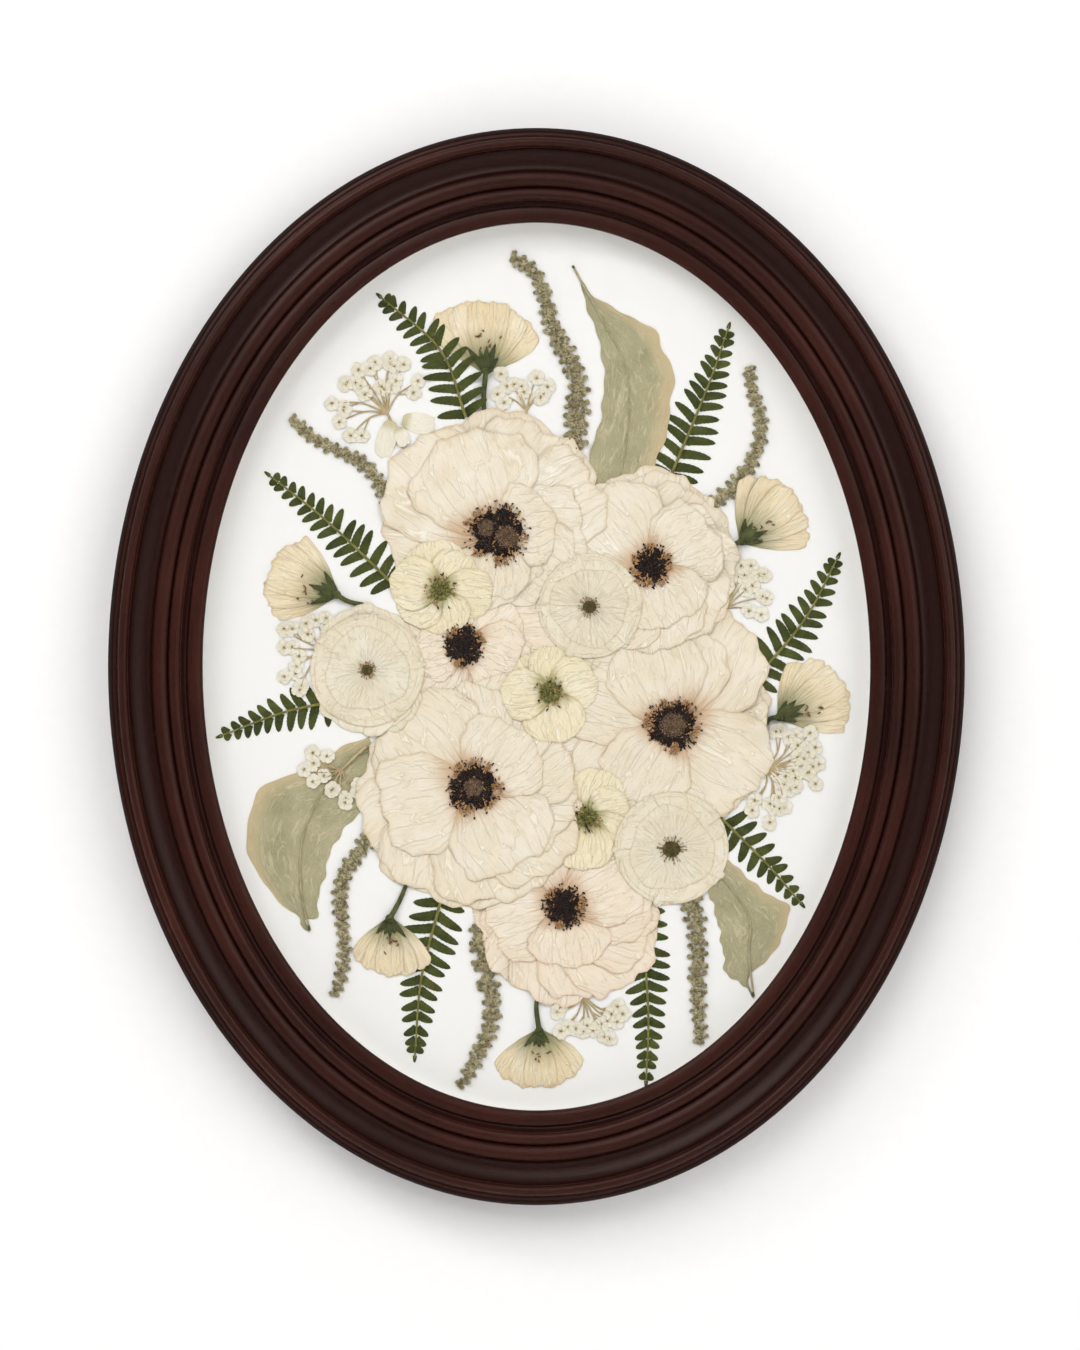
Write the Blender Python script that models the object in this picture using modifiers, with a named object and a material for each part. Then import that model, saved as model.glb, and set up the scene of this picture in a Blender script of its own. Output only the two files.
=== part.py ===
"""Oval frame with a pressed bouquet behind glass.

The frame hangs upright on a wall. World axes: +X to the right, +Z up, and the front faces -Y. The origin
is the middle notch of the sawtooth hanger, on the wall plane.

Every piece is first laid flat, as on a workbench: X to the right, Y to the top of the oval, Z the height
above the wall plane. All pieces hang on one empty that stands this flat layout upright. Sizes are written
in millimetres and turned into metres where the geometry is made.
"""
import math

import bpy
import bmesh
from mathutils import Matrix, Vector

MM = 0.001

# Oval and moulding
SIGHT_HALF_WIDTH = 150.0
SIGHT_HALF_HEIGHT = 199.5
MOULDING_WIDTH = 42.5
RABBET_WIDTH = 6.5
HANGER_ABOVE_CENTRE = 221.0
BEZIER_CIRCLE = 0.5522847498

# Fineness and shading of what is swept or turned
OVAL_STEPS = 12
TURN_STEPS = 8
BUMPER_STEPS = 18
BLOOM_STEPS = 28
DISC_STEPS = 22
MERGE_DISTANCE = 0.00001
MOULDING_SHARP = 35.0
TURNED_SHARP = 40.0

# Heights above the wall plane, back to front
MOULDING_BACK = 3.0
POINT_BACK = 5.0
BACKING_BACK = 5.7
BACKING_THICK = 2.5
BOARD_BACK = 8.5
BOARD_THICK = 1.5
FLOWER_BACK = 10.3
SPACER_THICK = 8.0
GLASS_BACK = 18.6
GLASS_THICK = 2.0
RABBET_TOP = 20.9

# Fits
SHEET_FIT = 0.8
SPACER_WIDTH = 4.0

# Pressed pieces
PETAL_THICK = 0.4
LEVEL_PITCH = 0.7
STRAND_THICK = 1.7
STEM_HALF_WIDTH = 0.7
ANEMONE_RISE = 1.6
RANUNCULUS_RISE = 0.8
HELLEBORE_RISE = 1.0

# Hanger and its nails
HANGER_LENGTH = 46.0
HANGER_WIDTH = 12.0
HANGER_THICK = 0.7
HANGER_BACK = 2.0
HANGER_BOW = 1.3
HANGER_TEETH = 7
TOOTH_DEPTH = 1.8
TOOTHED_SHARE = 0.6
EDGE_BELOW_TOP = 2.5
NAIL_PAD = 3.0
NAIL_SPREAD = 19.0
NAIL_HEAD_RADIUS = 1.9
NAIL_HEAD_THICK = 0.6
NAIL_SHANK_RADIUS = 0.7
NAIL_DEPTH = 9.0
NAIL_POINT = 1.5
NAIL_CROWN = 0.2
NAIL_HOLE_SPARE = 0.5
NAIL_GAP = 0.3
NAIL_RISE = 4.2

# Bumpers
BUMPER_RADIUS = 5.0
BUMPER_THICK = 2.7
BUMPER_X = 90.0
BUMPER_LINE = 24.0
BUMPER_CHAMFER = 0.8

# Framer's points: the angle of each around the oval, and the size of one
POINT_ANGLES = (30.0, 90.0, 150.0, 210.0, 270.0, 330.0)
POINT_LENGTH = 20.0
POINT_WIDTH = 9.0
POINT_THICK = 0.4
POINT_BITE = 1.7
POINT_GAP = 0.3
POINT_SHOULDER = 2.0

# Moulding section, from the sight edge outward. Each member ends at (distance out, height) and rises
# above its chord by the given amount: a bead is positive, a hollow negative, a flat has no rise.
MOULDING_MEMBERS = (
    ((0.4, 22.9), 0.0, 1),
    ((5.2, 23.0), 1.3, 2),
    ((5.8, 22.5), 0.0, 1),
    ((9.8, 25.2), -0.7, 2),
    ((15.2, 24.8), 1.5, 3),
    ((15.6, 24.0), 0.0, 1),
    ((22.6, 25.3), 2.3, 3),
    ((23.2, 24.4), 0.0, 1),
    ((33.8, 29.0), -2.3, 3),
    ((38.4, 28.6), 2.0, 3),
    ((38.8, 27.4), 0.0, 1),
    ((39.7, 27.2), 0.0, 1),
    ((42.5, 21.0), 0.8, 2),
)

# Open flowers. Petals are (direction in degrees, reach, width) seen from the middle of the flower.
ANEMONES = {
    "anemone_top": dict(
        centre=(-18.0, 60.0), level=5, core=14.0,
        petals=((95, 55, 54), (60, 53, 45), (28, 51, 36), (0, 40, 36), (-35, 36, 34), (-75, 28, 27),
                (-115, 33, 32), (-155, 43, 38), (172, 50, 43), (140, 56, 45))),
    "anemone_upper_right": dict(
        centre=(52.0, 45.5), level=4, core=7.0,
        petals=((112, 44, 41), (78, 42, 36), (50, 39, 34), (15, 36, 36), (-12, 39, 36), (-45, 38, 36),
                (-85, 38, 36), (-130, 40, 36), (180, 40, 38), (145, 45, 38))),
    "anemone_middle": dict(
        centre=(-33.0, 9.5), level=3, core=7.0,
        petals=((30, 38, 32), (60, 34, 27), (0, 37, 32), (-35, 27, 25), (-75, 22, 23), (-120, 25, 23),
                (175, 24, 25), (150, 27, 23), (100, 25, 25))),
    "anemone_lower_left": dict(
        centre=(-28.5, -54.5), level=5, core=13.0,
        petals=((180, 51, 43), (215, 54, 47), (250, 54, 50), (285, 53, 45), (322, 52, 41), (-10, 44, 38),
                (30, 43, 38), (65, 51, 38), (100, 46, 38), (135, 49, 43))),
    "anemone_right": dict(
        centre=(61.5, -26.5), level=3, core=13.0,
        petals=((5, 44, 41), (30, 44, 36), (60, 55, 43), (90, 45, 41), (125, 43, 38), (160, 47, 38),
                (190, 51, 38), (222, 49, 38), (255, 45, 38), (290, 47, 38), (325, 47, 38))),
    "anemone_bottom": dict(
        centre=(12.5, -108.5), level=3, core=7.5,
        petals=((180, 41, 34), (205, 37, 32), (235, 42, 34), (262, 44, 34), (290, 42, 34), (318, 46, 36),
                (345, 42, 36), (10, 39, 34), (45, 31, 29), (90, 26, 27), (140, 33, 29))),
}
RANUNCULI = {
    "ranunculus_middle": dict(centre=(24.0, 27.0), level=7, core=3.0, disc=23.8, petals=()),
    "ranunculus_left": dict(
        centre=(-76.5, -1.5), level=6, core=2.5, disc=25.5,
        petals=((-58, 30, 30), (90, 29, 42), (-95, 29, 42))),
    "ranunculus_right": dict(centre=(61.0, -82.5), level=5, core=4.0, disc=25.8, petals=()),
}
HELLEBORES = {
    "hellebore_upper": dict(
        centre=(-43.5, 34.5), level=6, core=5.5,
        petals=((100, 23, 23), (50, 20, 19), (-5, 24, 18), (-80, 20, 19), (-150, 21, 20), (165, 23, 20))),
    "hellebore_middle": dict(
        centre=(6.0, -11.5), level=6, core=5.5,
        petals=((130, 20, 20), (80, 21, 19), (20, 22, 20), (-80, 23, 23), (185, 22, 19))),
    "hellebore_lower": dict(
        centre=(22.5, -68.0), level=4, core=5.5,
        petals=((110, 21, 20), (65, 23, 20), (15, 20, 19), (-45, 23, 19), (-95, 24, 22))),
}

# Small flowers pressed from the side: the petals' outline from the calyx round, and the stem's end.
BUDS = {
    "bud_top_left": dict(level=0, stem=(-23.5, 113.0), petals=(
        (-25.0, 135.0), (-37.5, 145.0), (-45.5, 158.0), (-40.5, 162.0), (-28.5, 164.5), (-20.0, 165.0),
        (-10.0, 159.5), (-0.5, 152.0), (-2.0, 146.0), (-11.5, 137.0), (-20.5, 132.0))),
    "bud_left": dict(level=1, stem=(-78.0, 28.0), petals=(
        (-89.5, 34.0), (-95.0, 44.5), (-101.0, 52.0), (-109.5, 55.5), (-115.5, 52.0), (-122.5, 38.5),
        (-123.0, 33.0), (-119.5, 27.0), (-109.5, 25.0), (-101.0, 26.5), (-91.0, 31.0))),
    "bud_top_right": dict(level=3, stem=(86.5, 54.0), petals=(
        (92.5, 58.0), (92.5, 76.5), (97.5, 84.5), (104.0, 86.0), (113.0, 81.5), (119.5, 74.0),
        (122.5, 65.0), (121.0, 54.5), (105.5, 52.5), (93.0, 55.0))),
    "bud_right": dict(level=1, stem=(104.0, -26.0), petals=(
        (109.5, -21.0), (113.0, -6.5), (119.5, 0.0), (127.5, 2.0), (135.5, -2.5), (141.5, -14.0),
        (140.5, -23.5), (134.0, -27.5), (118.0, -27.5), (110.0, -24.5))),
    "bud_bottom_left": dict(level=1, stem=(-59.0, -99.0), petals=(
        (-65.0, -113.5), (-56.5, -119.5), (-50.5, -129.5), (-52.0, -137.0), (-67.5, -139.5),
        (-81.0, -132.0), (-80.5, -127.0), (-75.5, -120.0), (-67.5, -114.0))),
    "bud_bottom": dict(level=1, stem=(0.5, -148.0), petals=(
        (2.5, -164.5), (7.0, -167.0), (14.0, -173.0), (20.0, -181.5), (11.5, -188.5), (3.0, -190.0),
        (-11.5, -188.0), (-16.5, -184.0), (-10.0, -173.0), (-3.0, -166.5), (0.0, -164.5))),
}

# Fern fronds: foot, middle and tip of the midrib, the longest pinna and the pairs of pinnae.
FERNS = {
    "fern_top_left": dict(
        level=1, foot=(-32.0, 113.0), middle=(-43.5, 143.0), tip=(-71.0, 167.5), reach=15.0),
    "fern_upper_left": dict(
        level=0, foot=(-65.0, 37.5), middle=(-95.0, 66.0), tip=(-121.5, 87.0), reach=13.0),
    "fern_left": dict(
        level=0, foot=(-86.5, -15.0), middle=(-113.5, -20.5), tip=(-143.0, -31.5), reach=12.5),
    "fern_top_right": dict(
        level=0, foot=(60.0, 84.5), middle=(78.0, 128.0), tip=(87.0, 154.0), reach=15.0),
    "fern_right": dict(
        level=0, foot=(97.5, -7.0), middle=(121.0, 21.0), tip=(136.5, 50.0), reach=14.0),
    "fern_lower_right": dict(
        level=0, foot=(81.0, -66.0), middle=(103.5, -88.5), tip=(120.0, -107.5), reach=12.0),
    "fern_bottom_left": dict(
        level=0, foot=(-43.0, -105.0), middle=(-52.0, -141.0), tip=(-55.0, -177.0), reach=15.0),
    "fern_bottom_right": dict(
        level=0, foot=(47.0, -108.0), middle=(50.5, -155.5), tip=(49.5, -188.5), reach=13.5),
}
FERN_PAIRS = 9

# Amaranth strands: the way of each, and its width at the first and the last point.
STRANDS = {
    "amaranth_top": dict(widths=(4.5, 9.0), way=(
        (-11.5, 185.0), (-1.5, 178.5), (3.5, 168.0), (5.5, 158.0), (11.5, 145.0), (17.5, 133.5),
        (19.0, 122.0), (17.5, 108.5), (17.5, 98.0))),
    "amaranth_upper_left": dict(widths=(3.8, 6.6), way=(
        (-111.0, 112.5), (-101.0, 103.5), (-89.5, 97.5), (-78.0, 91.5), (-72.0, 84.5), (-67.0, 75.0),
        (-65.0, 67.0))),
    "amaranth_upper_right": dict(widths=(3.8, 6.2), way=(
        (96.0, 135.5), (97.5, 124.5), (101.0, 114.0), (101.0, 104.0), (97.5, 93.0), (91.0, 84.0),
        (83.5, 76.5), (77.5, 72.0))),
    "amaranth_lower_left": dict(widths=(4.2, 6.4), way=(
        (-91.0, -148.5), (-87.5, -135.5), (-87.0, -122.5), (-88.5, -108.0), (-87.0, -94.5), (-80.5, -84.0),
        (-73.0, -74.5))),
    "amaranth_bottom_left": dict(widths=(4.5, 9.0), way=(
        (-34.5, -189.5), (-30.5, -183.0), (-26.0, -174.5), (-20.0, -160.0), (-21.0, -146.5),
        (-23.5, -132.0), (-25.5, -117.0))),
    "amaranth_bottom_right": dict(widths=(4.2, 8.0), way=(
        (74.0, -170.5), (73.5, -159.0), (72.5, -144.5), (73.0, -132.0), (72.0, -116.0), (69.0, -104.5))),
}
STRAND_STATIONS = 9

# Large leaves, as outlines from the stem's end round.
LEAVES = {
    "leaf_top": dict(level=1, outline=(
        (16.5, 181.0), (19.0, 174.0), (21.0, 168.0), (25.5, 155.5), (29.5, 141.5), (30.5, 128.0),
        (29.5, 115.5), (27.0, 105.0), (23.0, 89.5), (26.0, 77.0), (34.0, 79.0), (49.0, 80.0),
        (56.0, 97.0), (59.5, 109.0), (61.0, 122.0), (62.0, 134.0), (57.5, 142.5), (53.5, 151.5),
        (47.0, 156.0), (34.5, 162.0), (25.0, 168.5), (20.5, 174.5))),
    "leaf_left": dict(level=0, outline=(
        (-75.5, -32.0), (-89.5, -37.0), (-99.5, -43.5), (-109.5, -48.5), (-121.0, -52.0), (-127.0, -59.5),
        (-131.0, -72.5), (-131.0, -79.5), (-127.5, -91.0), (-119.5, -102.5), (-112.5, -109.5),
        (-107.5, -113.0), (-106.5, -117.5), (-102.5, -120.0), (-104.0, -114.5), (-99.5, -113.5),
        (-98.5, -105.0), (-93.0, -84.0), (-88.0, -75.0), (-78.5, -64.0), (-71.0, -47.0))),
    "leaf_right": dict(level=1, outline=(
        (79.5, -94.5), (86.5, -87.5), (95.0, -94.5), (103.0, -102.0), (113.0, -107.0), (113.5, -115.0),
        (109.5, -125.0), (104.0, -133.0), (96.0, -140.0), (98.0, -150.0), (93.5, -143.5), (86.0, -139.5),
        (84.5, -130.5), (82.0, -116.0), (79.0, -105.5), (77.0, -100.0))),
}

# Umbels: the stem's foot, the point where the rays part, and the middle of each outer floret.
UMBELS = {
    "umbel_top_left": dict(level=0, foot=(-57.5, 94.5), hub=(-67.5, 114.5), florets=(
        (-53.5, 129.0), (-60.0, 136.5), (-72.0, 138.0), (-80.5, 134.0), (-86.5, 127.5), (-92.5, 119.0),
        (-89.0, 110.5), (-83.0, 103.0), (-70.0, 99.0), (-52.5, 109.5))),
    "umbel_top": dict(level=0, foot=(-4.5, 106.0), hub=(-4.5, 115.5), florets=(
        (-16.5, 122.5), (-15.5, 131.0), (-8.0, 129.0), (0.0, 130.5), (5.5, 126.5), (4.0, 119.0))),
    "umbel_left": dict(level=1, foot=(-88.0, 7.5), hub=(-94.5, 7.5), florets=(
        (-95.0, 21.5), (-104.0, 19.5), (-113.5, 17.0), (-114.0, 7.5), (-113.0, -3.0), (-106.0, -10.5))),
    "umbel_lower_left": dict(level=1, foot=(-77.0, -36.0), hub=(-88.0, -46.5), florets=(
        (-101.0, -39.0), (-105.0, -46.5), (-101.0, -53.0), (-93.0, -56.5), (-86.5, -61.5), (-80.5, -56.5))),
    "umbel_upper_right": dict(level=1, foot=(80.0, 22.0), hub=(85.0, 26.5), florets=(
        (89.5, 46.5), (96.0, 45.0), (102.5, 41.5), (104.0, 33.0), (102.0, 24.0))),
    "umbel_right": dict(level=2, foot=(96.0, -47.0), hub=(104.0, -46.0), florets=(
        (110.5, -29.0), (117.0, -31.0), (124.0, -33.0), (127.0, -43.5), (126.0, -53.0), (117.0, -56.0),
        (112.0, -63.5), (105.5, -70.0), (98.0, -64.0))),
    "umbel_bottom": dict(level=1, foot=(21.0, -144.0), hub=(21.5, -149.0), florets=(
        (9.5, -156.0), (13.5, -163.5), (20.5, -165.0), (27.0, -164.5), (35.0, -168.0), (37.0, -160.5),
        (39.0, -153.0))),
}
FLORET_RADIUS = 3.1
RAY_HALF_WIDTH = 0.4
HUB_RADIUS = 3.6

# Colour, roughness, metallic
FINISHES = {
    "dark_wood": ((0.030, 0.011, 0.009), 0.38, 0.0),
    "clear_glass": ((0.95, 0.97, 0.96), 0.02, 0.0),
    "white_spacer": ((0.85, 0.83, 0.79), 0.6, 0.0),
    "white_board": ((0.88, 0.87, 0.85), 0.85, 0.0),
    "brown_board": ((0.30, 0.20, 0.12), 0.8, 0.0),
    "steel": ((0.55, 0.54, 0.50), 0.35, 1.0),
    "clear_rubber": ((0.60, 0.58, 0.54), 0.5, 0.0),
    "cream_petal": ((0.80, 0.72, 0.56), 0.7, 0.0),
    "yellow_petal": ((0.78, 0.68, 0.42), 0.7, 0.0),
    "fern_green": ((0.05, 0.08, 0.03), 0.65, 0.0),
    "khaki_strand": ((0.28, 0.25, 0.14), 0.8, 0.0),
    "grey_leaf": ((0.36, 0.36, 0.24), 0.7, 0.0),
    "white_floret": ((0.75, 0.70, 0.58), 0.75, 0.0),
}


def clear_scene():
    """Remove every object, so that the script gives the same result in any open file."""
    for obj in list(bpy.data.objects):
        bpy.data.objects.remove(obj)


def new_collection(name):
    """Make a collection in the scene."""
    collection = bpy.data.collections.new(name)
    bpy.context.scene.collection.children.link(collection)
    return collection


def new_finish(name, colour, roughness, metallic):
    """Make a Principled material."""
    material = bpy.data.materials.new(name)
    material.use_nodes = True
    shader = material.node_tree.nodes["Principled BSDF"]
    shader.inputs["Base Color"].default_value = (*colour, 1.0)
    shader.inputs["Roughness"].default_value = roughness
    shader.inputs["Metallic"].default_value = metallic
    material.diffuse_color = (*colour, 1.0)
    return material


class Workbench:
    """The empty that stands the flat layout upright, with its collections and finishes."""

    def __init__(self):
        self.pieces = new_collection("pressed_flower_frame")
        self.cutters = new_collection("cutters")
        self.centre = bpy.data.objects.new("oval_centre", None)
        self.centre.location = (0.0, 0.0, -HANGER_ABOVE_CENTRE * MM)
        self.centre.rotation_euler = (math.radians(90.0), 0.0, 0.0)
        self.pieces.objects.link(self.centre)
        self.finishes = {name: new_finish(name, *values) for name, values in FINISHES.items()}

    def place(self, name, data, finish, at=(0.0, 0.0, 0.0), turn=0.0):
        """Put mesh or curve data on the bench at a point in millimetres, turned about Z."""
        obj = bpy.data.objects.new(name, data)
        data.materials.append(self.finishes[finish])
        self.pieces.objects.link(obj)
        obj.parent = self.centre
        obj.location = Vector(at) * MM
        obj.rotation_euler = (0.0, 0.0, turn)
        return obj

    def place_cutter(self, name, data, at, turn=0.0):
        """Put a cutting shape on the bench, out of the renders."""
        obj = bpy.data.objects.new(name, data)
        self.cutters.objects.link(obj)
        obj.parent = self.centre
        obj.location = Vector(at) * MM
        obj.rotation_euler = (0.0, 0.0, turn)
        obj.hide_render = True
        obj.display_type = "WIRE"
        return obj


def combine(obj, other, operation):
    """Add a Boolean modifier with another object."""
    boolean = obj.modifiers.new(f"{operation.lower()} {other.name}", "BOOLEAN")
    boolean.operation = operation
    boolean.solver = "EXACT"
    boolean.object = other


def curve_mesh(curve, name):
    """Turn curve data into welded mesh data whose faces point out."""
    stand = bpy.data.objects.new(name, curve)
    bpy.context.scene.collection.objects.link(stand)
    bpy.context.view_layer.update()
    evaluated = stand.evaluated_get(bpy.context.evaluated_depsgraph_get())
    mesh = bpy.data.meshes.new_from_object(evaluated)
    mesh.name = name
    bpy.data.objects.remove(stand)
    weld(mesh)
    return mesh


def weld(mesh):
    """Merge doubled points and turn all faces outward."""
    shape = bmesh.new()
    shape.from_mesh(mesh)
    bmesh.ops.remove_doubles(shape, verts=shape.verts, dist=MERGE_DISTANCE)
    bmesh.ops.recalc_face_normals(shape, faces=shape.faces)
    shape.to_mesh(mesh)
    shape.free()


def new_flat_curve(name, thick):
    """Make an empty 2D curve that fills both faces and is as thick as given."""
    curve = bpy.data.curves.new(name, "CURVE")
    curve.dimensions = "2D"
    curve.fill_mode = "BOTH"
    curve.extrude = 0.5 * thick * MM
    return curve


def add_outline(curve, points, closed=True):
    """Add a straight-sided outline in millimetres."""
    spline = curve.splines.new("POLY")
    spline.points.add(len(points) - 1)
    for point, (x, y) in zip(spline.points, points):
        point.co = (x * MM, y * MM, 0.0, 1.0)
    spline.use_cyclic_u = closed


def add_oval(curve, offset):
    """Add an oval, offset outward from the sight edge, as four Bezier points going clockwise."""
    half_width = (SIGHT_HALF_WIDTH + offset) * MM
    half_height = (SIGHT_HALF_HEIGHT + offset) * MM
    spline = curve.splines.new("BEZIER")
    spline.bezier_points.add(3)
    for quarter, point in enumerate(spline.bezier_points):
        angle = -0.5 * math.pi * quarter
        co = Vector((half_width * math.cos(angle), half_height * math.sin(angle), 0.0))
        along = Vector((half_width * math.sin(angle), -half_height * math.cos(angle), 0.0)) * BEZIER_CIRCLE
        point.co = co
        point.handle_left_type = "FREE"
        point.handle_right_type = "FREE"
        point.handle_left = co - along
        point.handle_right = co + along
    spline.use_cyclic_u = True
    spline.resolution_u = OVAL_STEPS
    curve.resolution_u = OVAL_STEPS


def flat_plate(bench, name, points, back, thick, finish):
    """Lay a flat piece with the given outline on the bench."""
    curve = new_flat_curve(name, thick)
    add_outline(curve, points)
    return bench.place(name, curve, finish, at=(0.0, 0.0, back + 0.5 * thick))


def oval_plate(bench, name, offsets, back, thick, finish):
    """Lay an oval plate on the bench; a second offset leaves an oval opening."""
    curve = new_flat_curve(name, thick)
    for offset in offsets:
        add_oval(curve, offset)
    return bench.place(name, curve, finish, at=(0.0, 0.0, back + 0.5 * thick))


def turned_mesh(name, profile, steps=TURN_STEPS):
    """Turn a profile of (radius, height) points, listed top to bottom, about Z."""
    mesh = bpy.data.meshes.new(name)
    points = [(radius * MM, 0.0, height * MM) for radius, height in profile]
    mesh.from_pydata(points, [(i, i + 1) for i in range(len(points) - 1)], [])
    stand = bpy.data.objects.new(name, mesh)
    bpy.context.scene.collection.objects.link(stand)
    screw = stand.modifiers.new("turn", "SCREW")
    screw.steps = steps
    screw.render_steps = steps
    screw.use_merge_vertices = True
    screw.merge_threshold = MERGE_DISTANCE
    bpy.context.view_layer.update()
    evaluated = stand.evaluated_get(bpy.context.evaluated_depsgraph_get())
    turned = bpy.data.meshes.new_from_object(evaluated)
    bpy.data.objects.remove(stand)
    weld(turned)
    turned.shade_smooth()
    turned.set_sharp_from_angle(angle=math.radians(TURNED_SHARP))
    return turned


def block_mesh(name, size):
    """Make a box centred on its origin."""
    shape = bmesh.new()
    bmesh.ops.create_cube(shape, size=1.0, matrix=Matrix.Diagonal((*[side * MM for side in size], 1.0)))
    mesh = bpy.data.meshes.new(name)
    shape.to_mesh(mesh)
    shape.free()
    return mesh


def oval_station(angle, offset):
    """Give the point at an angle around the sight oval, moved outward, and the outward direction."""
    turn = math.radians(angle)
    point = Vector((SIGHT_HALF_WIDTH * math.cos(turn), SIGHT_HALF_HEIGHT * math.sin(turn)))
    outward = Vector((math.cos(turn) / SIGHT_HALF_WIDTH, math.sin(turn) / SIGHT_HALF_HEIGHT)).normalized()
    return point + outward * offset, math.atan2(outward.y, outward.x)


def bulged(start, end, rise, steps):
    """Give the points after start on a round member that ends at end."""
    start = Vector(start)
    chord = Vector(end) - start
    across = Vector((-chord.y, chord.x)).normalized()
    points = []
    for step in range(1, steps + 1):
        part = step / steps
        points.append(start + chord * part + across * (4.0 * rise * part * (1.0 - part)))
    return [tuple(point) for point in points]


def moulding_section():
    """Give the moulding's section as (distance out, height) points, clockwise from the rabbet."""
    section = [(RABBET_WIDTH, MOULDING_BACK), (RABBET_WIDTH, RABBET_TOP), (0.0, RABBET_TOP)]
    for end, rise, steps in MOULDING_MEMBERS:
        section += bulged(section[-1], end, rise, steps)
    section.append((MOULDING_WIDTH, MOULDING_BACK))
    return section


def build_moulding(bench):
    """Sweep the moulding round the oval and cut the slots and nail holes in it."""
    section = bpy.data.curves.new("moulding_section", "CURVE")
    section.dimensions = "2D"
    section.fill_mode = "NONE"
    add_outline(section, [(-out, height) for out, height in moulding_section()])
    section_object = bpy.data.objects.new("moulding_section", section)
    bpy.context.scene.collection.objects.link(section_object)
    path = bpy.data.curves.new("moulding", "CURVE")
    path.dimensions = "2D"
    path.fill_mode = "NONE"
    path.bevel_mode = "OBJECT"
    path.bevel_object = section_object
    add_oval(path, 0.0)
    mesh = curve_mesh(path, "moulding")
    bpy.data.objects.remove(section_object)
    mesh.shade_smooth()
    mesh.set_sharp_from_angle(angle=math.radians(MOULDING_SHARP))
    moulding = bench.place("moulding", mesh, "dark_wood")
    slot_mesh = block_mesh("point_slot", (2.0 * (POINT_BITE + POINT_GAP), POINT_WIDTH + 2.0 * POINT_GAP,
                                          POINT_THICK + 2.0 * POINT_GAP))
    for number, angle in enumerate(POINT_ANGLES, 1):
        spot, direction = oval_station(angle, RABBET_WIDTH)
        height = POINT_BACK + 0.5 * POINT_THICK
        slot = bench.place_cutter(f"point_slot_{number}", slot_mesh, (spot.x, spot.y, height), direction)
        combine(moulding, slot, "DIFFERENCE")
    radius = NAIL_SHANK_RADIUS + NAIL_GAP
    deep = NAIL_DEPTH + NAIL_HOLE_SPARE
    hole = turned_mesh("nail_hole", ((0.0, deep), (radius, deep), (radius, 0.0), (0.0, 0.0)))
    for side, x in (("left", -NAIL_SPREAD), ("right", NAIL_SPREAD)):
        cutter = bench.place_cutter(f"nail_hole_{side}", hole, (x, HANGER_ABOVE_CENTRE + NAIL_RISE, 0.0))
        combine(moulding, cutter, "DIFFERENCE")
    return moulding


def build_filling(bench):
    """Lay the glass, spacer, mount board and backing board in the rabbet."""
    edge = RABBET_WIDTH - SHEET_FIT
    oval_plate(bench, "backing_board", (edge,), BACKING_BACK, BACKING_THICK, "brown_board")
    oval_plate(bench, "mount_board", (edge,), BOARD_BACK, BOARD_THICK, "white_board")
    oval_plate(bench, "spacer", (edge, edge - SPACER_WIDTH), FLOWER_BACK, SPACER_THICK, "white_spacer")
    oval_plate(bench, "glass", (edge,), GLASS_BACK, GLASS_THICK, "clear_glass")


def build_points(bench):
    """Make the flat framer's points that hold the boards in the rabbet."""
    half = 0.5 * POINT_WIDTH
    shoulder = POINT_BITE - POINT_SHOULDER
    heel = POINT_BITE - POINT_LENGTH
    outline = ((POINT_BITE, -0.5 * half), (POINT_BITE, 0.5 * half), (shoulder, half), (heel, half),
               (heel, -half), (shoulder, -half))
    for number, angle in enumerate(POINT_ANGLES, 1):
        spot, direction = oval_station(angle, RABBET_WIDTH)
        curve = new_flat_curve(f"framers_point_{number}", POINT_THICK)
        add_outline(curve, outline)
        height = POINT_BACK + 0.5 * POINT_THICK
        bench.place(f"framers_point_{number}", curve, "steel", (spot.x, spot.y, height), direction)


def hanger_outline():
    """Give the hanger's outline about its middle notch: a straight top edge and a toothed lower edge."""
    half = 0.5 * HANGER_LENGTH
    top = HANGER_WIDTH - EDGE_BELOW_TOP
    pitch = TOOTHED_SHARE * HANGER_LENGTH / HANGER_TEETH
    toothed = 0.5 * HANGER_TEETH * pitch
    points = [(half, top), (0.5 * half, top), (0.0, top), (-0.5 * half, top), (-half, top), (-half, 0.0)]
    for tooth in range(HANGER_TEETH):
        left = -toothed + tooth * pitch
        points += [(left, -TOOTH_DEPTH), (left + 0.5 * pitch, 0.0)]
    points += [(toothed, -TOOTH_DEPTH), (half, 0.0)]
    return points


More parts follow.
